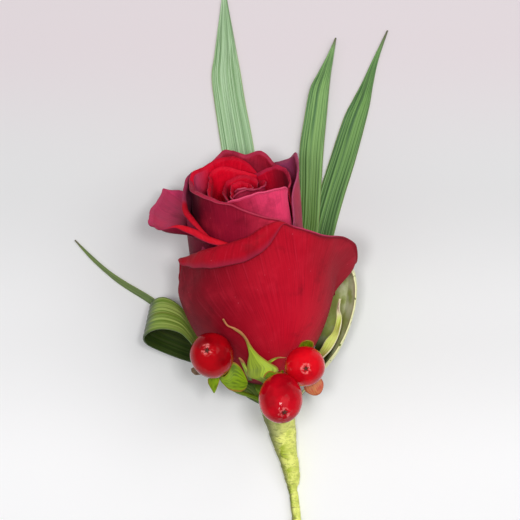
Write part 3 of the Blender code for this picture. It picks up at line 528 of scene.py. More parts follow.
def petal_skin(name, width, start, middle, end, rolled, margin, spread=(0.08, 0.42, 0.58, 0.95),
               rolls_from=(-0.2, -0.1), painted_root_shade=(0.30, 0.10), painted_light=0.0, vein_depth=0.13):
    """A rose petal's face: velvet of tiny raised cells, with only the faintest gloss, over
    veins that fan out from its root, with pale painted highlights along them. The colour runs
    from its start to its end round the bloom, with painted shade towards its root, down in the
    cup, and on some petals a painted pool of light low in the middle; the rolled rim has its
    own. The cells, 0.05 mm wide, are drawn 0.7 mm wide so that they show."""
    matter, shader = new_material(name)
    _, across, up = own_map(matter)
    aside = add(matter, "Math", MINUS, n0=across, n1=0.55)
    rise = add(matter, "Math", PLUS, n0=up, n1=0.06)
    fan = add(matter, "Math", {"operation": "DIVIDE"}, n0=aside, n1=rise)
    rays = add(matter, "CombineXYZ", X=fan, Y=up)
    lines = add(matter, "Mapping", Vector=rays, Scale=(width / VEIN_PITCH, 5.0, 1.0))
    veins = add(matter, "TexNoise", Vector=lines, Scale=1.0, Detail=4.0, Roughness=0.6)
    solid = add(matter, "TexCoord").outputs["Object"]
    cloud = add(matter, "TexNoise", Vector=solid, Scale=130.0, Detail=5.0, Roughness=0.6)
    grain = add(matter, "TexNoise", Vector=solid, Scale=1500.0, Detail=2.0)
    flecks = add(matter, "TexVoronoi", Vector=solid, Scale=620.0)
    body = tint(matter, start, middle, 1.0, (across, *spread[:2]))
    # Painted light: a brighter pool low in the middle of the petal.
    body = tint(matter, body, "#dc1430", painted_light, (across, 0.36, 0.62), (up, 0.66, 0.34))
    body = tint(matter, body, end, 1.0, (across, *spread[2:]))
    # Painted shade towards the root, down in the cup.
    body = tint(matter, body, "#3c0410", 1.0, (up, *painted_root_shade))
    body = tint(matter, body, rolled, 1.0, (up, 0.70, 0.80), (across, *rolls_from))
    body = tint(matter, body, "#2c0410", vein_depth, (veins, 0.56, 0.34))
    # Painted highlights: pale streaks along the veins.
    body = tint(matter, body, "#dc4864", 0.14, (veins, 0.56, 0.72))
    body = tint(matter, body, "#e83048", 0.20, (cloud, 0.50, 0.75))
    body = tint(matter, body, "#500814", 0.34, (cloud, 0.48, 0.32))
    body = tint(matter, body, "#e8788c", 0.5, (flecks, 0.10, 0.03), (cloud, 0.52, 0.60))
    body = tint(matter, body, margin, 0.5, (up, 0.962, 0.998))
    cells = add(matter, "Math", TIMES, n0=grain, n1=0.5)
    relief = add(matter, "Math", PLUS, n0=veins, n1=cells)
    bump = add(matter, "Bump", Strength=0.14, Distance=0.4 * MM, Height=relief)
    feed(matter, shader, Base_Color=body, Normal=bump, Roughness=0.6, Specular_IOR_Level=0.06,
         Sheen_Weight=0.03, Sheen_Roughness=0.35, Sheen_Tint="#e8a0c0")
    return matter


# Outside and inside: start, middle and end round the bloom, rolled rim, margin, and where
# the colours change; some also give where the rolled rim's colour starts, the painted shade
# towards the root, the painted light and the veins' depth. The colours round the bloom are
# partly the petals' own tones and partly painted light and shade: darker where a petal turns
# away from the light or lies under another, paler pink and mauve where the velvet's sheen
# catches the light.
PETAL_COLOURS = {
    "front": (("#740e1e", "#be1028", "#a82030", "#9c182a", "#7c1c30", (0.20, 0.56, 0.60, 0.80),
               (-0.2, -0.1), (0.12, 0.0), 0.8, 0.18),
              ("#a03850", "#b80a22", "#cc4068", "#b40a22", "#94304c", (0.22, 0.40, 0.54, 0.60),
               (0.60, 0.54))),
    "back": (("#8a1424", "#981420", "#8a1424", "#902034", "#983048"),
             ("#a01028", "#b80c24", "#a01028", "#b0102a", "#a83a50")),
    "left_wing": (("#8c1838", "#74122c", "#44081a", "#8a1c34", "#983454"),
                  ("#c43c66", "#cc3e68", "#b42c50", "#cc1024", "#703050", (0.1, 0.3, 0.5, 0.6),
                   (0.60, 0.67), (0.70, 0.56))),
    "left_inner": (("#b84c6c", "#a83858", "#701028", "#a8304c", "#a03450"),
                   ("#a04064", "#a83c5c", "#c00c24", "#c00e24", "#902840", (0.0, 0.3, 0.38, 0.46),
                    (0.38, 0.48))),
    "bud_front": (("#54081c", "#94122e", "#dc3452", "#b82444", "#bc4860", (0.26, 0.50, 0.56, 0.82)),
                  ("#c04068", "#c02444", "#b01028", "#b02844", "#b84c60")),
    "right": (("#a83c54", "#b04058", "#a83c64", "#a84060", "#a85070"),
              ("#801828", "#701028", "#b04c78", "#a84868", "#a85070")),
    "bud_back": (("#a02040", "#a82848", "#a02040", "#b04060", "#b85070"),
                 ("#ac1830", "#b0243c", "#c42444", "#b4304c", "#b04460")),
    "second_left": (("#a01030", "#a82040", "#a83a58", "#b04060", "#c05070"),
                    ("#c80c28", "#dc0828", "#c04468", "#cc0e2c", "#d03050", (0.1, 0.3, 0.62, 0.86))),
    "third_left": (("#a82040", "#b42c4c", "#b02c4c", "#b83050", "#b84460"),
                   ("#c80c28", "#e40828", "#b82c44", "#d8102c", "#cc3450")),
    "third_right": (("#a01830", "#981830", "#a02038", "#a82840", "#b84058"),
                    ("#7c1428", "#901428", "#d00c2c", "#b42040", "#c04058", (0.2, 0.5, 0.5, 0.75))),
    "heart_front": (("#a41c38", "#f44472", "#ff5c8c", "#f04c78", "#d85878", (0.15, 0.55, 0.6, 0.8)),
                    ("#b01030", "#b01030", "#b01030", "#c02040", "#d04868")),
    "heart_left": (("#a01c34", "#a82c44", "#982c40", "#a02c44", "#b04458"),
                   ("#c80c28", "#c80826", "#a81c34", "#b8102c", "#b43450")),
    "heart_right": (("#b02848", "#a82040", "#a02038", "#b02444", "#c04c68"),
                    ("#b80c28", "#c00a26", "#b00a26", "#b8102c", "#b83854")),
    "whorl": (("#b02040", "#a82040", "#a02c40", "#b02c4c", "#c85c74"),
              ("#c80c28", "#c80826", "#c80826", "#c8102c", "#d05c74")),
}
for seed, (name, row) in enumerate(PETALS.items()):
    layer, root, flare, lip_start, rim = row
    ruffle = 0.2 if name == "left_wing" else 0.5
    surface = petal_surface(layer, root, flare, lip_start, rim, ruffle, seed * 7.3)
    width = sum((bloom_point(*two[:3]) - bloom_point(*one[:3])).length
                for one, two in zip(rim, rim[1:]))
    skins = [petal_skin("rose_%s_petal_%s" % (name, side), width, *colours)
             for side, colours in zip(("outside", "inside"), PETAL_COLOURS[name])]
    petal = shaped_grid("petal_" + name, surface, 4 * (len(rim) - 1), 36, skins[0])
    petal.data.materials.append(skins[1])
    petal = thicken(petal, PETAL_THICKNESS, other_side=1)
    finish(petal, "rose_petals")
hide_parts("rose_bloom")

core_skin = petal_skin("rose_core_petals", 60.0,
                       "#8c1028", "#a01030", "#8c1028", "#8c1028", "#a01030")

CORE_PROFILE = ((0.3, 1.0), (1.8, 1.0), (4.0, 1.0), (5.8, 0.85), (11.0, 0.85), (18.0, 0.85),
                (26.0, 0.79), (36.0, 0.75), (41.0, 0.66), (44.0, 0.5), (46.0, 0.2))


def wrapped_grid(name, ring_point, sides, rows, matter):
    """A grid rolled into a tube on ring_point(turn, v), its seam merged and ends closed."""
    tube = shaped_grid(name, lambda u, v: ring_point(2.0 * math.pi * u, v), sides, rows, matter)
    bpy.ops.object.mode_set(mode="EDIT")
    bpy.ops.mesh.select_all(action="SELECT")
    bpy.ops.mesh.remove_doubles(threshold=0.000001)
    bpy.ops.mesh.fill_holes(sides=0)
    bpy.ops.mesh.normals_make_consistent(inside=False)
    bpy.ops.object.mode_set(mode="OBJECT")
    return tube


def core_point(turn, v):
    level, share = along(CORE_PROFILE, v)
    radius = share * bloom_radius(level) * CORE_SHARE
    return bloom_place @ bloom_point(math.degrees(turn), radius, level)


core = wrapped_grid("rose_core", core_point, 48, 30, core_skin)
finish(core, "rose_petals")

# ---------------------------------------------------------------- rose hip, stem and sepals
# The green hip under the bloom, its stem down into the tape and five sepals. The front one
# is broad at its foot with a ridge, side lobes and a long dry curled tip.

HIP_PROFILE = ((0.0, 3.2), (-1.2, 3.35), (-2.6, 3.0), (-3.8, 2.0), (-4.8, 1.4))
SEPAL_GAP = 1.15
SEPAL_ROOT = 3.1
SEPAL_THICKNESS = 0.35
FRONT_SEPAL = ((88, -1.0, 1.2, 0.0), (86, 2.5, 1.4, 0.5), (88, 6.4, 1.4, 0.7), (94.5, 8.6, 1.7, 0.8),
               (95.0, 9.6, 2.9, 0.9), (93.1, 11.2, 3.8, 0.9), (92.5, 12.8, 3.7, 0.9),
               (94.5, 14.4, 3.0, 0.8), (96.3, 16.0, 2.2, 0.6), (97.8, 17.9, 1.2, 0.4),
               (99.2, 19.7, 0.7, 0.3), (100.3, 21.6, 0.4, 0.3), (101.4, 23.7, 0.32, 0.5),
               (104, 25.8, 0.32, 0.8), (107.6, 27.2, 0.3, 1.1), (111.1, 28.1, 0.28, 1.3),
               (112.3, 29.2, 0.24, 1.6), (112.7, 30.5, 0.15, 2.0))
FRONT_LOBES = (((109, 7.5, 0.5, 0.4), (107.7, 10.8, 0.6, 0.4), (107.9, 13.7, 0.5, 0.4),
                (108.5, 15.7, 0.4, 0.5), (109.6, 17.0, 0.15, 0.7)),
               ((89.3, 13.5, 0.4, -0.4), (85.6, 15.0, 0.6, 0.4), (82.2, 15.8, 0.5, 0.5),
                (78.1, 16.0, 0.4, 0.6), (73.0, 15.7, 0.15, 0.9)))
HIDDEN_SEPALS = (((205, -1.0, 1.0, 0.0), (205, 1.4, 1.4, 0.5), (205, 5.0, 2.0, 0.4),
                  (206, 9.0, 1.5, 0.3), (208, 12.5, 0.4, 0.6)),
                 ((322, -1.0, 1.0, 0.0), (322, 1.4, 1.2, 0.5), (321, 4.0, 1.5, 0.4),
                  (319, 6.4, 1.1, 0.2), (318, 8.6, 0.4, 0.4)))
# The wavy sepal on the right stands off the bloom: middle point and half width.
RIGHT_SEPAL = ((3.9, -1.2, 8.3, 0.2, -0.5, 1.2), (8.6, 1.0, 11.0, 0.4, -0.6, 1.5),
               (12.6, 4.3, 13.4, 0.9, -0.4, 1.5), (15.4, 7.4, 15.1, 1.1, -0.3, 1.0),
               (16.8, 9.8, 15.9, 1.1, -0.1, 0.7), (17.9, 11.6, 16.4, 1.0, 0.1, 0.6),
               (18.5, 13.6, 16.8, 0.8, 0.1, 0.4), (18.7, 15.4, 17.1, 0.5, 0.1, 0.3),
               (18.5, 17.0, 17.4, 0.4, 0.1, 0.2), (18.6, 18.6, 17.7, 0.3, 0.0, 0.2),
               (18.9, 19.9, 18.0, 0.15, 0.0, 0.1))


def on_bloom(path):
    """Stations on the bloom's outline, turned into middle points and half widths."""
    stations = []
    for angle, height, half_width, lift in path:
        radius = bloom_radius(height) + SEPAL_GAP + lift if height > 0.0 else SEPAL_ROOT
        turn = math.radians(angle)
        middle = bloom_place @ bloom_point(angle, radius, height)
        across = Vector((math.sin(turn), math.cos(turn), 0.0)) * half_width
        stations.append((*middle, *(bloom_place.to_3x3() @ across)))
    return stations


def sepal_green(name, fresh, deep, rim, tip, tip_start, foot="#5c7018", shade=0.12):
    """A sepal: matt green skin, paler along its ridge, with painted shade on one side of it and
    at its foot, a dry tip and a tinted rim."""
    matter, shader = new_material(name)
    flat, across, up = own_map(matter)
    edge = off_middle(matter, across)
    lines = add(matter, "Mapping", Vector=flat, Scale=(7.0, 2.0, 1.0))
    streak = add(matter, "TexNoise", Vector=lines, Scale=2.0, Detail=4.0)
    body = tint(matter, deep, fresh, 1.0, (streak, 0.35, 0.6))
    body = tint(matter, body, fresh, 1.0, (edge, 0.06, 0.0))
    body = tint(matter, body, rim, 0.8, (edge, 0.40, 0.49))
    body = tint(matter, body, tip, 1.0, (up, tip_start, tip_start + 0.14))
    # Painted shade over one side of the ridge.
    body = tint(matter, body, foot, shade, (across, 0.54, 0.42))
    # Painted shade at the foot.
    body = tint(matter, body, foot, 1.0, (up, 0.22, 0.10))
    bump = add(matter, "Bump", Strength=0.35, Distance=0.2 * MM, Height=streak)
    feed(matter, shader, Base_Color=body, Normal=bump, Roughness=0.5, Specular_IOR_Level=0.2)
    return matter


sepal_skin = sepal_green("rose_sepal_green", "#d0ee3c", "#a0c030", "#a8843c", "#c48454", 0.60,
                         shade=0.5)
calyx_skin = sepal_green("rose_hip_green", "#9ab648", "#5f8a2c", "#8aa040", "#8aa040", 2.0)
wavy_skin = sepal_green("rose_wavy_sepal_green", "#e4f084", "#bcd050", "#f8ecd0", "#e8dcb8", 0.66,
                         "#c8d868")


def hip_point(turn, v):
    """The hip's skin, turned on the bloom's axis."""
    height, radius = along(HIP_PROFILE, v)
    ring = Vector((radius * math.cos(turn), radius * math.sin(turn), height))
    return bloom_place @ ring


def tube_surface(stations, wobble=0.0):
    """The skin of a round stalk through stations of x, y, z and a radius."""

    def ring_point(turn, v):
        x, y, z, radius = along(stations, v)
        ahead = Vector(along(stations, min(v + LOOK_AHEAD, 1.0))[:3])
        behind = Vector(along(stations, max(v - LOOK_AHEAD, 0.0))[:3])
        aim = (ahead - behind).to_track_quat("Z", "Y")
        swell = radius * (1.0 + wobble * math.sin(3.0 * turn + 14.0 * v))
        return Vector((x, y, z)) + aim @ Vector(
            (swell * math.cos(turn), swell * math.sin(turn), 0.0))

    return ring_point


hip = wrapped_grid("rose_hip", hip_point, 40, 16, calyx_skin)
finish(hip, "rose_green", "rose_calyx")
neck = bloom_place @ Vector((0.0, 0.0, -3.6))
stem_path = [(*neck, 1.4), (3.1, -6.6, 4.4, 1.4), (5.0, -9.8, 4.2, 1.35),
             (6.2, -13.6, 3.6, 1.3), (*tape_section(0.42)[0], 1.2)]
stem = wrapped_grid("rose_stem", tube_surface(stem_path), 24, 30, calyx_skin)
finish(stem, "rose_green")

sepals = [("front", on_bloom(FRONT_SEPAL), 0.22, sepal_skin)]
sepals += [("front_lobe_%d" % i, on_bloom(path), 0.1, sepal_skin)
           for i, path in enumerate(FRONT_LOBES)]
sepals += [("back_%d" % i, on_bloom(path), 0.1, sepal_skin)
           for i, path in enumerate(HIDDEN_SEPALS)]
sepals.append(("right", RIGHT_SEPAL, 0.1, wavy_skin))
for name, stations, keel, skin in sepals:
    curl = None
    if name == "right":
        curl = lambda side, v: 0.35 * side * math.sin(20.0 * v)
    if name == "front":
        curl = lambda side, v: 0.25 * side * math.sin(26.0 * v) * smooth_step(3.0 * v - 1.4)
    sepal = shaped_grid("sepal_" + name, leaf_surface(stations, keel, wave=curl), 14, 60, skin)
    finish(thicken(sepal, SEPAL_THICKNESS), "rose_green")

# ---------------------------------------------------------------- hypericum berries
# Glossy scarlet berries on thin stalks. Five sepals spread under each, and the dried styles
# leave a dark five-pointed star in puckered skin at the tip.

BERRIES = {
    "left": ((-11.9, 6.7, 33.6), (-0.19, 0.58, 0.79), (-0.19, 0.21, 0.96), 5.2, 6.0, 128,
             "#84040e", "#b80614"),
    "right": ((10.2, 4.05, 32.3), (0.04, -0.04, 1.0), (0.03, -0.07, 1.0), 4.8, 6.0, 58,
              "#c0081a", "#ee1020"),
    "bottom": ((4.4, -3.5, 38.0), (0.02, -0.66, 0.75), (0.15, -0.46, 0.88), 5.2, 6.6, 93,
               "#a40616", "#d80e22"),
}
STALK_BENDS = {
    "left": ((-10.0, 1.6, 24.0), (-6.8, -2.2, 16.0), (-1.4, -4.5, 9.3)),
    "right": ((9.9, 2.8, 22.6), (9.0, -0.8, 17.0), (7.1, -4.3, 10.2)),
    "bottom": ((4.3, 0.2, 28.0), (4.3, -2.6, 21.0), (4.2, -4.2, 11.4)),
}
# Sepals spread from the foot of each berry: the turn about its axis, the angle off its tip,
# the length and the half width.
BERRY_SEPALS = {
    "left": ((205, 75, 3.8, 1.2), (268, 75, 3.8, 1.2)),
    "right": ((-109, 80, 8.2, 2.4), (-35, 75, 4.2, 1.3), (180, 75, 3.8, 1.2)),
    "bottom": ((25, 155, 1.8, 0.8), (97, 75, 1.4, 0.8), (169, 75, 4.0, 1.4),
               (241, 75, 4.0, 1.4), (306, 75, 3.2, 0.9)),
}
# The broad ones that show: middle point and half width along each.
BROAD_SEPALS = {
    "left_broad": ((-10.5, 2.4, 27.8, 0.2, 0.2, 0.0), (-9.9, 1.0, 27.2, 0.1, 0.5, 0.1),
                   (-9.1, 0.4, 27.2, 0.0, 1.0, 0.1), (-8.1, 0.4, 27.3, 0.0, 2.0, 0.2),
                   (-7.4, 0.9, 27.3, -0.1, 2.9, 0.3), (-6.7, 1.4, 27.2, -0.3, 3.6, 0.4),
                   (-5.3, 0.9, 26.8, -0.2, 3.2, 0.4), (-4.1, 0.2, 26.2, -0.1, 1.8, 0.2),
                   (-3.5, -0.2, 25.8, 0.0, 0.2, 0.0)),
    "left_narrow": ((-10.5, 2.4, 27.8, 0.3, 0.0, 0.0), (-11.4, 1.2, 27.2, 1.3, 0.0, 0.0),
                    (-11.6, 0.2, 26.8, 1.4, 0.1, 0.0), (-11.6, -0.9, 26.4, 1.0, 0.0, 0.0),
                    (-11.5, -1.9, 26.0, 0.5, 0.0, 0.0), (-11.5, -2.6, 25.8, 0.1, 0.0, 0.0)),
    "left_tip": ((-10.5, 2.4, 27.8, 0.0, -0.3, 0.0), (-13.2, 2.8, 27.6, 0.0, -0.9, -0.3),
                 (-15.2, 2.8, 27.6, 0.1, -1.0, -0.3), (-16.2, 2.7, 27.7, 0.2, -0.9, -0.2),
                 (-16.9, 2.9, 27.9, 0.1, -0.4, 0.0)),
    "right_top": ((9.8, 4.6, 25.2, 0.3, 0.0, 0.0), (10.2, 7.0, 27.0, 1.5, 0.0, 0.1),
                  (10.5, 8.5, 29.0, 1.8, 0.0, 0.1), (10.8, 9.6, 30.4, 1.5, 0.0, 0.1),
                  (10.9, 10.1, 31.2, 0.5, 0.0, 0.0)),
}
FOOT_GAP = 0.5
STALK_RADIUS = 0.5
STALK_INSET = 0.5
SMALL_SEPAL_THICKNESS = 0.3


def berry_skin(side, deep, bright):
    """Taut berry skin under a clear natural wax, glossy: scarlet, with painted shade towards the
    foot and painted highlights, in specks 0.8 mm wide, on the puckers round the dried styles."""
    matter, shader = new_material("hypericum_skin_" + side)
    _, _, up = own_map(matter)
    solid = add(matter, "TexCoord").outputs["Object"]
    cloud = add(matter, "TexNoise", Vector=solid, Scale=160.0, Detail=3.0)
    glint_speckle = add(matter, "TexNoise", Vector=solid, Scale=1300.0, Detail=1.0)
    body = tint(matter, deep, bright, 1.0, (cloud, 0.30, 0.65))
    # Painted shade towards the foot, on the underside.
    body = tint(matter, body, "#7a0412", 1.0, (up, 0.35, 0.1))
    # Painted highlights: pale specks on the ring of puckers round the dried styles.
    body = tint(matter, body, "#ff8c8a", 0.65,
                (up, 0.895, 0.925), (up, 0.972, 0.955), (glint_speckle, 0.44, 0.66))
    body = tint(matter, body, "#5a0a10", 1.0, (up, 0.965, 0.985))
    bump = add(matter, "Bump", Strength=0.12, Distance=0.3 * MM, Height=cloud)
    feed(matter, shader, Base_Color=body, Normal=bump, Roughness=0.11, Specular_IOR_Level=0.12)
    return matter


def dried_style():
    """The dried styles: brittle, dull and dark brown, with a grain of 0.4 mm."""
    matter, shader = new_material("dried_style_brown")
    solid = add(matter, "TexCoord").outputs["Object"]
    grain = add(matter, "TexNoise", Vector=solid, Scale=2500.0, Detail=3.0)
    body = add(matter, "Mix", COLOUR_MIX, A="#2a0c0a", B="#6e3a26", Factor=grain)
    feed(matter, shader, Base_Color=body, Roughness=0.8)
    return matter


style_brown = dried_style()
sprig_skin = sepal_green("hypericum_sepal_green", "#84a410", "#5e7c08", "#b4602c", "#8e6a30", 0.93)
withered_skin = sepal_green("hypericum_withered_sepal", "#8a7a60", "#6a5240", "#8a5a40", "#7a4a34", 0.9)
ruddy_skin = sepal_green("hypericum_ruddy_sepal", "#d08a58", "#c45a48", "#b8402c", "#a04a30", 0.93)


def make_berry(side, middle, tip, eye, radius, half_length, skin):
    """A berry drawn out along its tip, with its puckered eye and dried styles at eye."""
    tip = Vector(tip).normalized()
    facing = Vector(eye).to_track_quat("Z", "Y")
    bpy.ops.object.select_all(action="DESELECT")
    bpy.ops.mesh.primitive_uv_sphere_add(segments=100, ring_count=90, radius=1.0)
    berry = bpy.context.object
    berry.name = "berry_%s_fine" % side
    for vertex in berry.data.vertices:
        away = vertex.co.xy.length
        turn = math.atan2(vertex.co.y, vertex.co.x)
        if vertex.co.z < 0.0:
            away = 1.0
        ring = smooth_step(away / 0.18) * (1.0 - smooth_step((away - 0.26) / 0.20))
        folds = ring * (0.014 * math.cos(5.0 * turn) + 0.010 * math.cos(8.0 * turn + 1.0))
        dip = 0.06 * (1.0 - smooth_step(away / 0.26)) - 0.03 * ring
        lump = 0.014 * noise.noise(vertex.co * 2.2 + Vector((3.0, 0.0, radius)))
        out = facing @ (vertex.co * (1.0 - dip + folds + lump))
        spot = out * radius + tip * out.dot(tip) * (half_length - radius)
        spot *= 1.0 - 0.05 * out.dot(tip) ** 3
        vertex.co = (Vector(middle) + spot + UNDER_ROSE) * MM
    berry.data.materials.append(skin)
    berry.data.shade_smooth()
    finish(berry, "berry_skin", "berry_" + side)
    top = facing @ Vector((0.0, 0.0, 1.0))
    reach_out = (top * radius + tip * top.dot(tip) * (half_length - radius)).length
    bpy.ops.object.select_all(action="DESELECT")
    bpy.ops.mesh.primitive_circle_add(vertices=60, radius=1.0, fill_type="TRIFAN")
    star = bpy.context.object
    star.name = "berry_%s_star" % side
    for vertex in star.data.vertices:
        turn = math.atan2(vertex.co.y, vertex.co.x)
        ray = abs(math.cos(2.5 * turn)) ** 4
        reach = vertex.co.xy.length * (0.22 + 0.62 * ray)
        rise = reach_out * 0.95 + 0.2 * vertex.co.xy.length * ray
        spot = Vector((reach * math.cos(turn), reach * math.sin(turn), rise))
        vertex.co = (Vector(middle) + facing @ spot + UNDER_ROSE) * MM
    star.data.materials.append(style_brown)
    finish(thicken(star, 0.2), "berry_skin")


for side, (middle, tip, eye, radius, half_length, angle, deep, bright) in BERRIES.items():
    make_berry(side, middle, tip, eye, radius, half_length, berry_skin(side, deep, bright))
    away = -Vector(tip).normalized()
    foot = Vector(middle) + away * (half_length + FOOT_GAP)
    path = [(*foot, 1.0), (*(foot + away), 0.9)]
    path += [(*bend, STALK_RADIUS) for bend in STALK_BENDS[side]]
    path += [(*held_point(y, angle, STALK_RADIUS + STALK_INSET), STALK_RADIUS)
             for y in (HELD_MOUTH, HELD_END)]
    stalk = wrapped_grid("stalk_" + side, tube_surface(path), 16, 60, sprig_skin)
    finish(stalk, "berry_stalk", "sprig_" + side)
    root = foot + away * 0.7
    facing = (-away).to_track_quat("Z", "Y")
    for count, (turn, spread, length, half_width) in enumerate(BERRY_SEPALS[side]):
        lean = Euler((0.0, math.radians(spread), math.radians(turn))).to_quaternion()
        reach = facing @ lean @ Vector((0.0, 0.0, length))
        across = reach.cross(away).normalized() * half_width
        elbow = (reach - reach.project(away)) * 0.85 + away * 0.3
        stations = []
        for share, width in ((0.0, 0.35), (0.3, 0.85), (0.58, 1.0), (0.84, 0.6), (1.0, 0.15)):
            spot = root + elbow * (2.0 * share * (1.0 - share)) + reach * share ** 2
            stations.append((*spot, *(across * width)))
        skin = ruddy_skin if (side, count) == ("right", 0) else sprig_skin
        sepal = shaped_grid("sprig_%s_sepal_%d" % (side, count),
                            leaf_surface(stations, 0.08), 14, 20, skin)
        finish(thicken(sepal, SMALL_SEPAL_THICKNESS), "berry_stalk")
for name, stations in BROAD_SEPALS.items():
    skin = withered_skin if name == "left_tip" else sprig_skin
    sepal = shaped_grid("sprig_" + name, leaf_surface(stations, 0.06), 16, 30, skin)
    finish(thicken(sepal, SMALL_SEPAL_THICKNESS), "berry_stalk")

# ---------------------------------------------------------------- cream-edged leaf
# A small cupped leaf of variegated pittosporum or euonymus: grey-green inside, with a cream
# margin that has small green flecks.

CREAM_LEAF = (
    (10.5, -2.6, 8.2, -0.1, 0.1, 0.6), (13.6, 1.6, 10.4, 0.9, 0.0, 1.4),
    (15.8, 6.2, 11.2, 3.0, 0.1, 4.2), (17.8, 11.6, 11.5, 3.9, 0.2, 5.0),
    (19.5, 17.2, 11.8, 3.9, 0.3, 4.9), (20.3, 22.0, 12.4, 3.5, 0.2, 4.3),
    (20.7, 25.0, 13.4, 2.7, 0.1, 3.3), (21.0, 26.6, 14.0, 1.8, 0.0, 2.2),
    (21.1, 27.3, 14.4, 0.5, 0.0, 0.8))


def variegated_skin():
    """A variegated leaf: leathery and half glossy, grey-green with a cream-yellow outer
    margin, which has green flecks about 1 mm wide, and painted shade low on its inner half."""
    matter, shader = new_material("variegated_leaf_skin")
    _, across, up = own_map(matter)
    edge = off_middle(matter, across)
    solid = add(matter, "TexCoord").outputs["Object"]
    cloud = add(matter, "TexNoise", Vector=solid, Scale=220.0, Detail=4.0)
    fleck = add(matter, "TexNoise", Vector=solid, Scale=900.0, Detail=2.0)
    body = tint(matter, "#b0c468", "#e6f0c4", 1.0, (cloud, 0.35, 0.65))
    # Painted shade low on the inner half, between the petal and the sepal.
    body = tint(matter, body, "#3a4614", 1.0, (up, 0.56, 0.42), (across, 0.72, 0.45))
    ripple = add(matter, "Math", TIMES, n0=cloud, n1=0.06)
    wavy = add(matter, "Math", PLUS, n0=edge, n1=ripple)
    cream = add(matter, "Mix", COLOUR_MIX, A="#f0f4a8", B="#fcfcd0", Factor=cloud)
    cream = tint(matter, cream, "#6c7f34", 1.0, (fleck, 0.62, 0.68))
    body = tint(matter, body, cream, 1.0, (wavy, 0.35, 0.38), (across, 0.4, 0.6))
    bump = add(matter, "Bump", Strength=0.25, Distance=0.3 * MM, Height=cloud)
    feed(matter, shader, Base_Color=body, Normal=bump, Roughness=0.4, Specular_IOR_Level=0.25)
    return matter


def level_margin(side, v):
    """The outer margin bends over and lies level."""
    return -1.5 * smooth_step(4.0 * v - 0.6) * max((side - 0.55) / 0.45, 0.0) ** 2


CREAM_INSET = 0.7
CREAM_THICKNESS = 0.4
leaf_path = grip(22, 0.5, CREAM_INSET) + list(CREAM_LEAF)
leaf = shaped_grid("cream_edged_leaf", leaf_surface(leaf_path, 0.18, wave=level_margin), 40, 60,
                   variegated_skin())
finish(thicken(leaf, CREAM_THICKNESS), "cream_edged_leaf", "variegated_leaf")

# ---------------------------------------------------------------- floral tape
# Waxed crepe tape, stretched and wound in a spiral from the leaves' feet down to a twisted
# tail. Each turn laps over the last one.

WRAP_TURNS = 9.5
WRAP_STEP = 0.16
MOUTH = 0.8
BORE_DEPTH = 0.5


def crepe():
    """Waxed crepe paper, matt: lime, mottled where it is stretched thin, with cross wrinkles that
    have painted shade in their folds; painted light on the tape's right side and painted shade
    down its left. The wrinkles, 0.3 mm apart, are drawn about 0.5 mm apart so that they show."""
    matter, shader = new_material("waxed_crepe_tape")
    _, round_tape, _ = own_map(matter)
    shaded_side = off_middle(matter, round_tape)
    solid = add(matter, "TexCoord").outputs["Object"]
    cloud = add(matter, "TexNoise", Vector=solid, Scale=420.0, Detail=5.0, Roughness=0.7)
    patch = add(matter, "TexNoise", Vector=solid, Scale=150.0, Detail=3.0)
    squash = add(matter, "Mapping", Vector=solid, Scale=(1.0, 2.6, 1.0))
    crease = add(matter, "TexNoise", Vector=squash, Scale=750.0, Detail=4.0)
    body = tint(matter, "#a8bc24", "#f8fc88", 1.0, (cloud, 0.40, 0.58))
    body = tint(matter, body, "#a4a878", 0.6, (patch, 0.50, 0.62))
    # Painted shade in the folds of the wrinkles.
    body = tint(matter, body, "#666c20", 0.7, (crease, 0.53, 0.64))
    # Painted light on the tape's right side.
    body = tint(matter, body, "#f8fe80", 0.5, (round_tape, 0.34, 0.20))
    # Painted shade down the tape's left side.
    body = tint(matter, body, "#565c1c", 0.75, (shaded_side, 0.20, 0.08))
    bump = add(matter, "Bump", Strength=0.5, Distance=0.3 * MM, Height=crease)
    feed(matter, shader, Base_Color=body, Normal=bump, Roughness=0.6)
    return matter


def tape_skin(turn, v):
    """The outside from the tail to the mouth, where v is MOUTH, then down into the bore."""
    outer = v <= MOUTH
    place = 1.0 - v / MOUTH if outer else (v - MOUTH) / (1.0 - MOUTH) * BORE_DEPTH
    middle, radius = tape_section(place)
    wind = (turn / (2.0 * math.pi) + WRAP_TURNS * place) % 1.0
    lap = WRAP_STEP * (1.0 - wind) * min(radius / 2.0, 1.0)
    crease = 0.06 * math.sin(3.0 * turn - 34.0 * place)
    lumps = 0.10 * noise.noise(Vector((3.0 * math.cos(turn), 3.0 * math.sin(turn), 30.0 * place)))
    reach = radius - 0.08 + lap + crease + lumps if outer else radius - TAPE_WALL
    return middle + Vector((reach * math.cos(turn), 0.0, reach * math.sin(turn)))


tape = wrapped_grid("wound_tape", tape_skin, 64, 260, crepe())
finish(tape, "tape_crepe", "floral_tape")

# ---------------------------------------------------------------- table, light and camera
# The flower lies on a plain white board under two large soft lights, with two small ones
# that give the berries their highlights. The camera looks straight down.

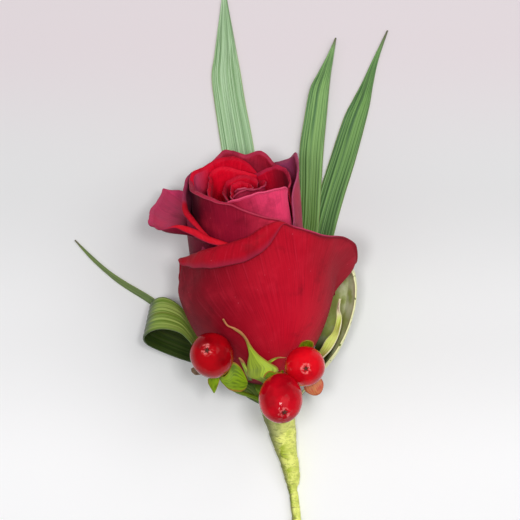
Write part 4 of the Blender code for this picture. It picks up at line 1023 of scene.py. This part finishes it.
TABLE_SIZE = 6.0
TABLE_GAP = 0.0002
LAMPS_AIM = Vector((0.0, 0.0, 0.02))
CAMERA_PLACE = (0.00712, 0.00348, 0.8)
CAMERA_LENS = 223.6


def table_white():
    """Matt paper-white board, a touch greyer towards its far edge."""
    matter, shader = new_material("matt_white_board")
    solid = add(matter, "TexCoord").outputs["Object"]
    far = add(matter, "SeparateXYZ", Vector=solid).outputs["Y"]
    body = tint(matter, "#fefefe", "#f0f0f0", 1.0, (far, -0.050, -0.013))
    body = tint(matter, body, "#e2e2e2", 1.0, (far, -0.013, 0.023))
    body = tint(matter, body, "#e2d9dc", 1.0, (far, 0.023, 0.060))
    feed(matter, shader, Base_Color=body, Roughness=0.9, Specular_IOR_Level=0.1)
    return matter


bpy.ops.object.select_all(action="DESELECT")
bpy.ops.mesh.primitive_plane_add(size=TABLE_SIZE, location=(0.0, 0.0, -TABLE_GAP))
table = bpy.context.object
table.name = "table"
table.data.materials.append(table_white())

# Each lamp's place, size and power.
LAMPS = {
    "soft_key": ((0.30, 0.20, 0.62), 0.50, 1.35),
    "soft_fill": ((-0.45, 0.05, 0.55), 0.60, 0.4),
    "window_left": ((-0.065, -0.01, 0.76), 0.09, 1.45),
    "window_right": ((0.08, 0.04, 0.76), 0.09, 1.45),
}
for name, (spot, size, power) in LAMPS.items():
    lamp = bpy.data.lights.new(name, "AREA")
    lamp.size = size
    lamp.energy = power
    holder = bpy.data.objects.new(name, lamp)
    holder.location = spot
    holder.rotation_euler = (LAMPS_AIM - Vector(spot)).to_track_quat("-Z", "Y").to_euler()
    bpy.context.scene.collection.objects.link(holder)

world = bpy.data.worlds.new("studio")
world.use_nodes = True
world.node_tree.nodes["Background"].inputs["Color"].default_value = linear("#f4f4f8")
world.node_tree.nodes["Background"].inputs["Strength"].default_value = 0.27
bpy.context.scene.world = world
bpy.context.scene.view_settings.view_transform = "Standard"

camera = bpy.data.cameras.new("camera")
camera.lens = CAMERA_LENS
camera.sensor_width = 36.0
viewer = bpy.data.objects.new("camera", camera)
viewer.location = CAMERA_PLACE
bpy.context.scene.collection.objects.link(viewer)
bpy.context.scene.camera = viewer
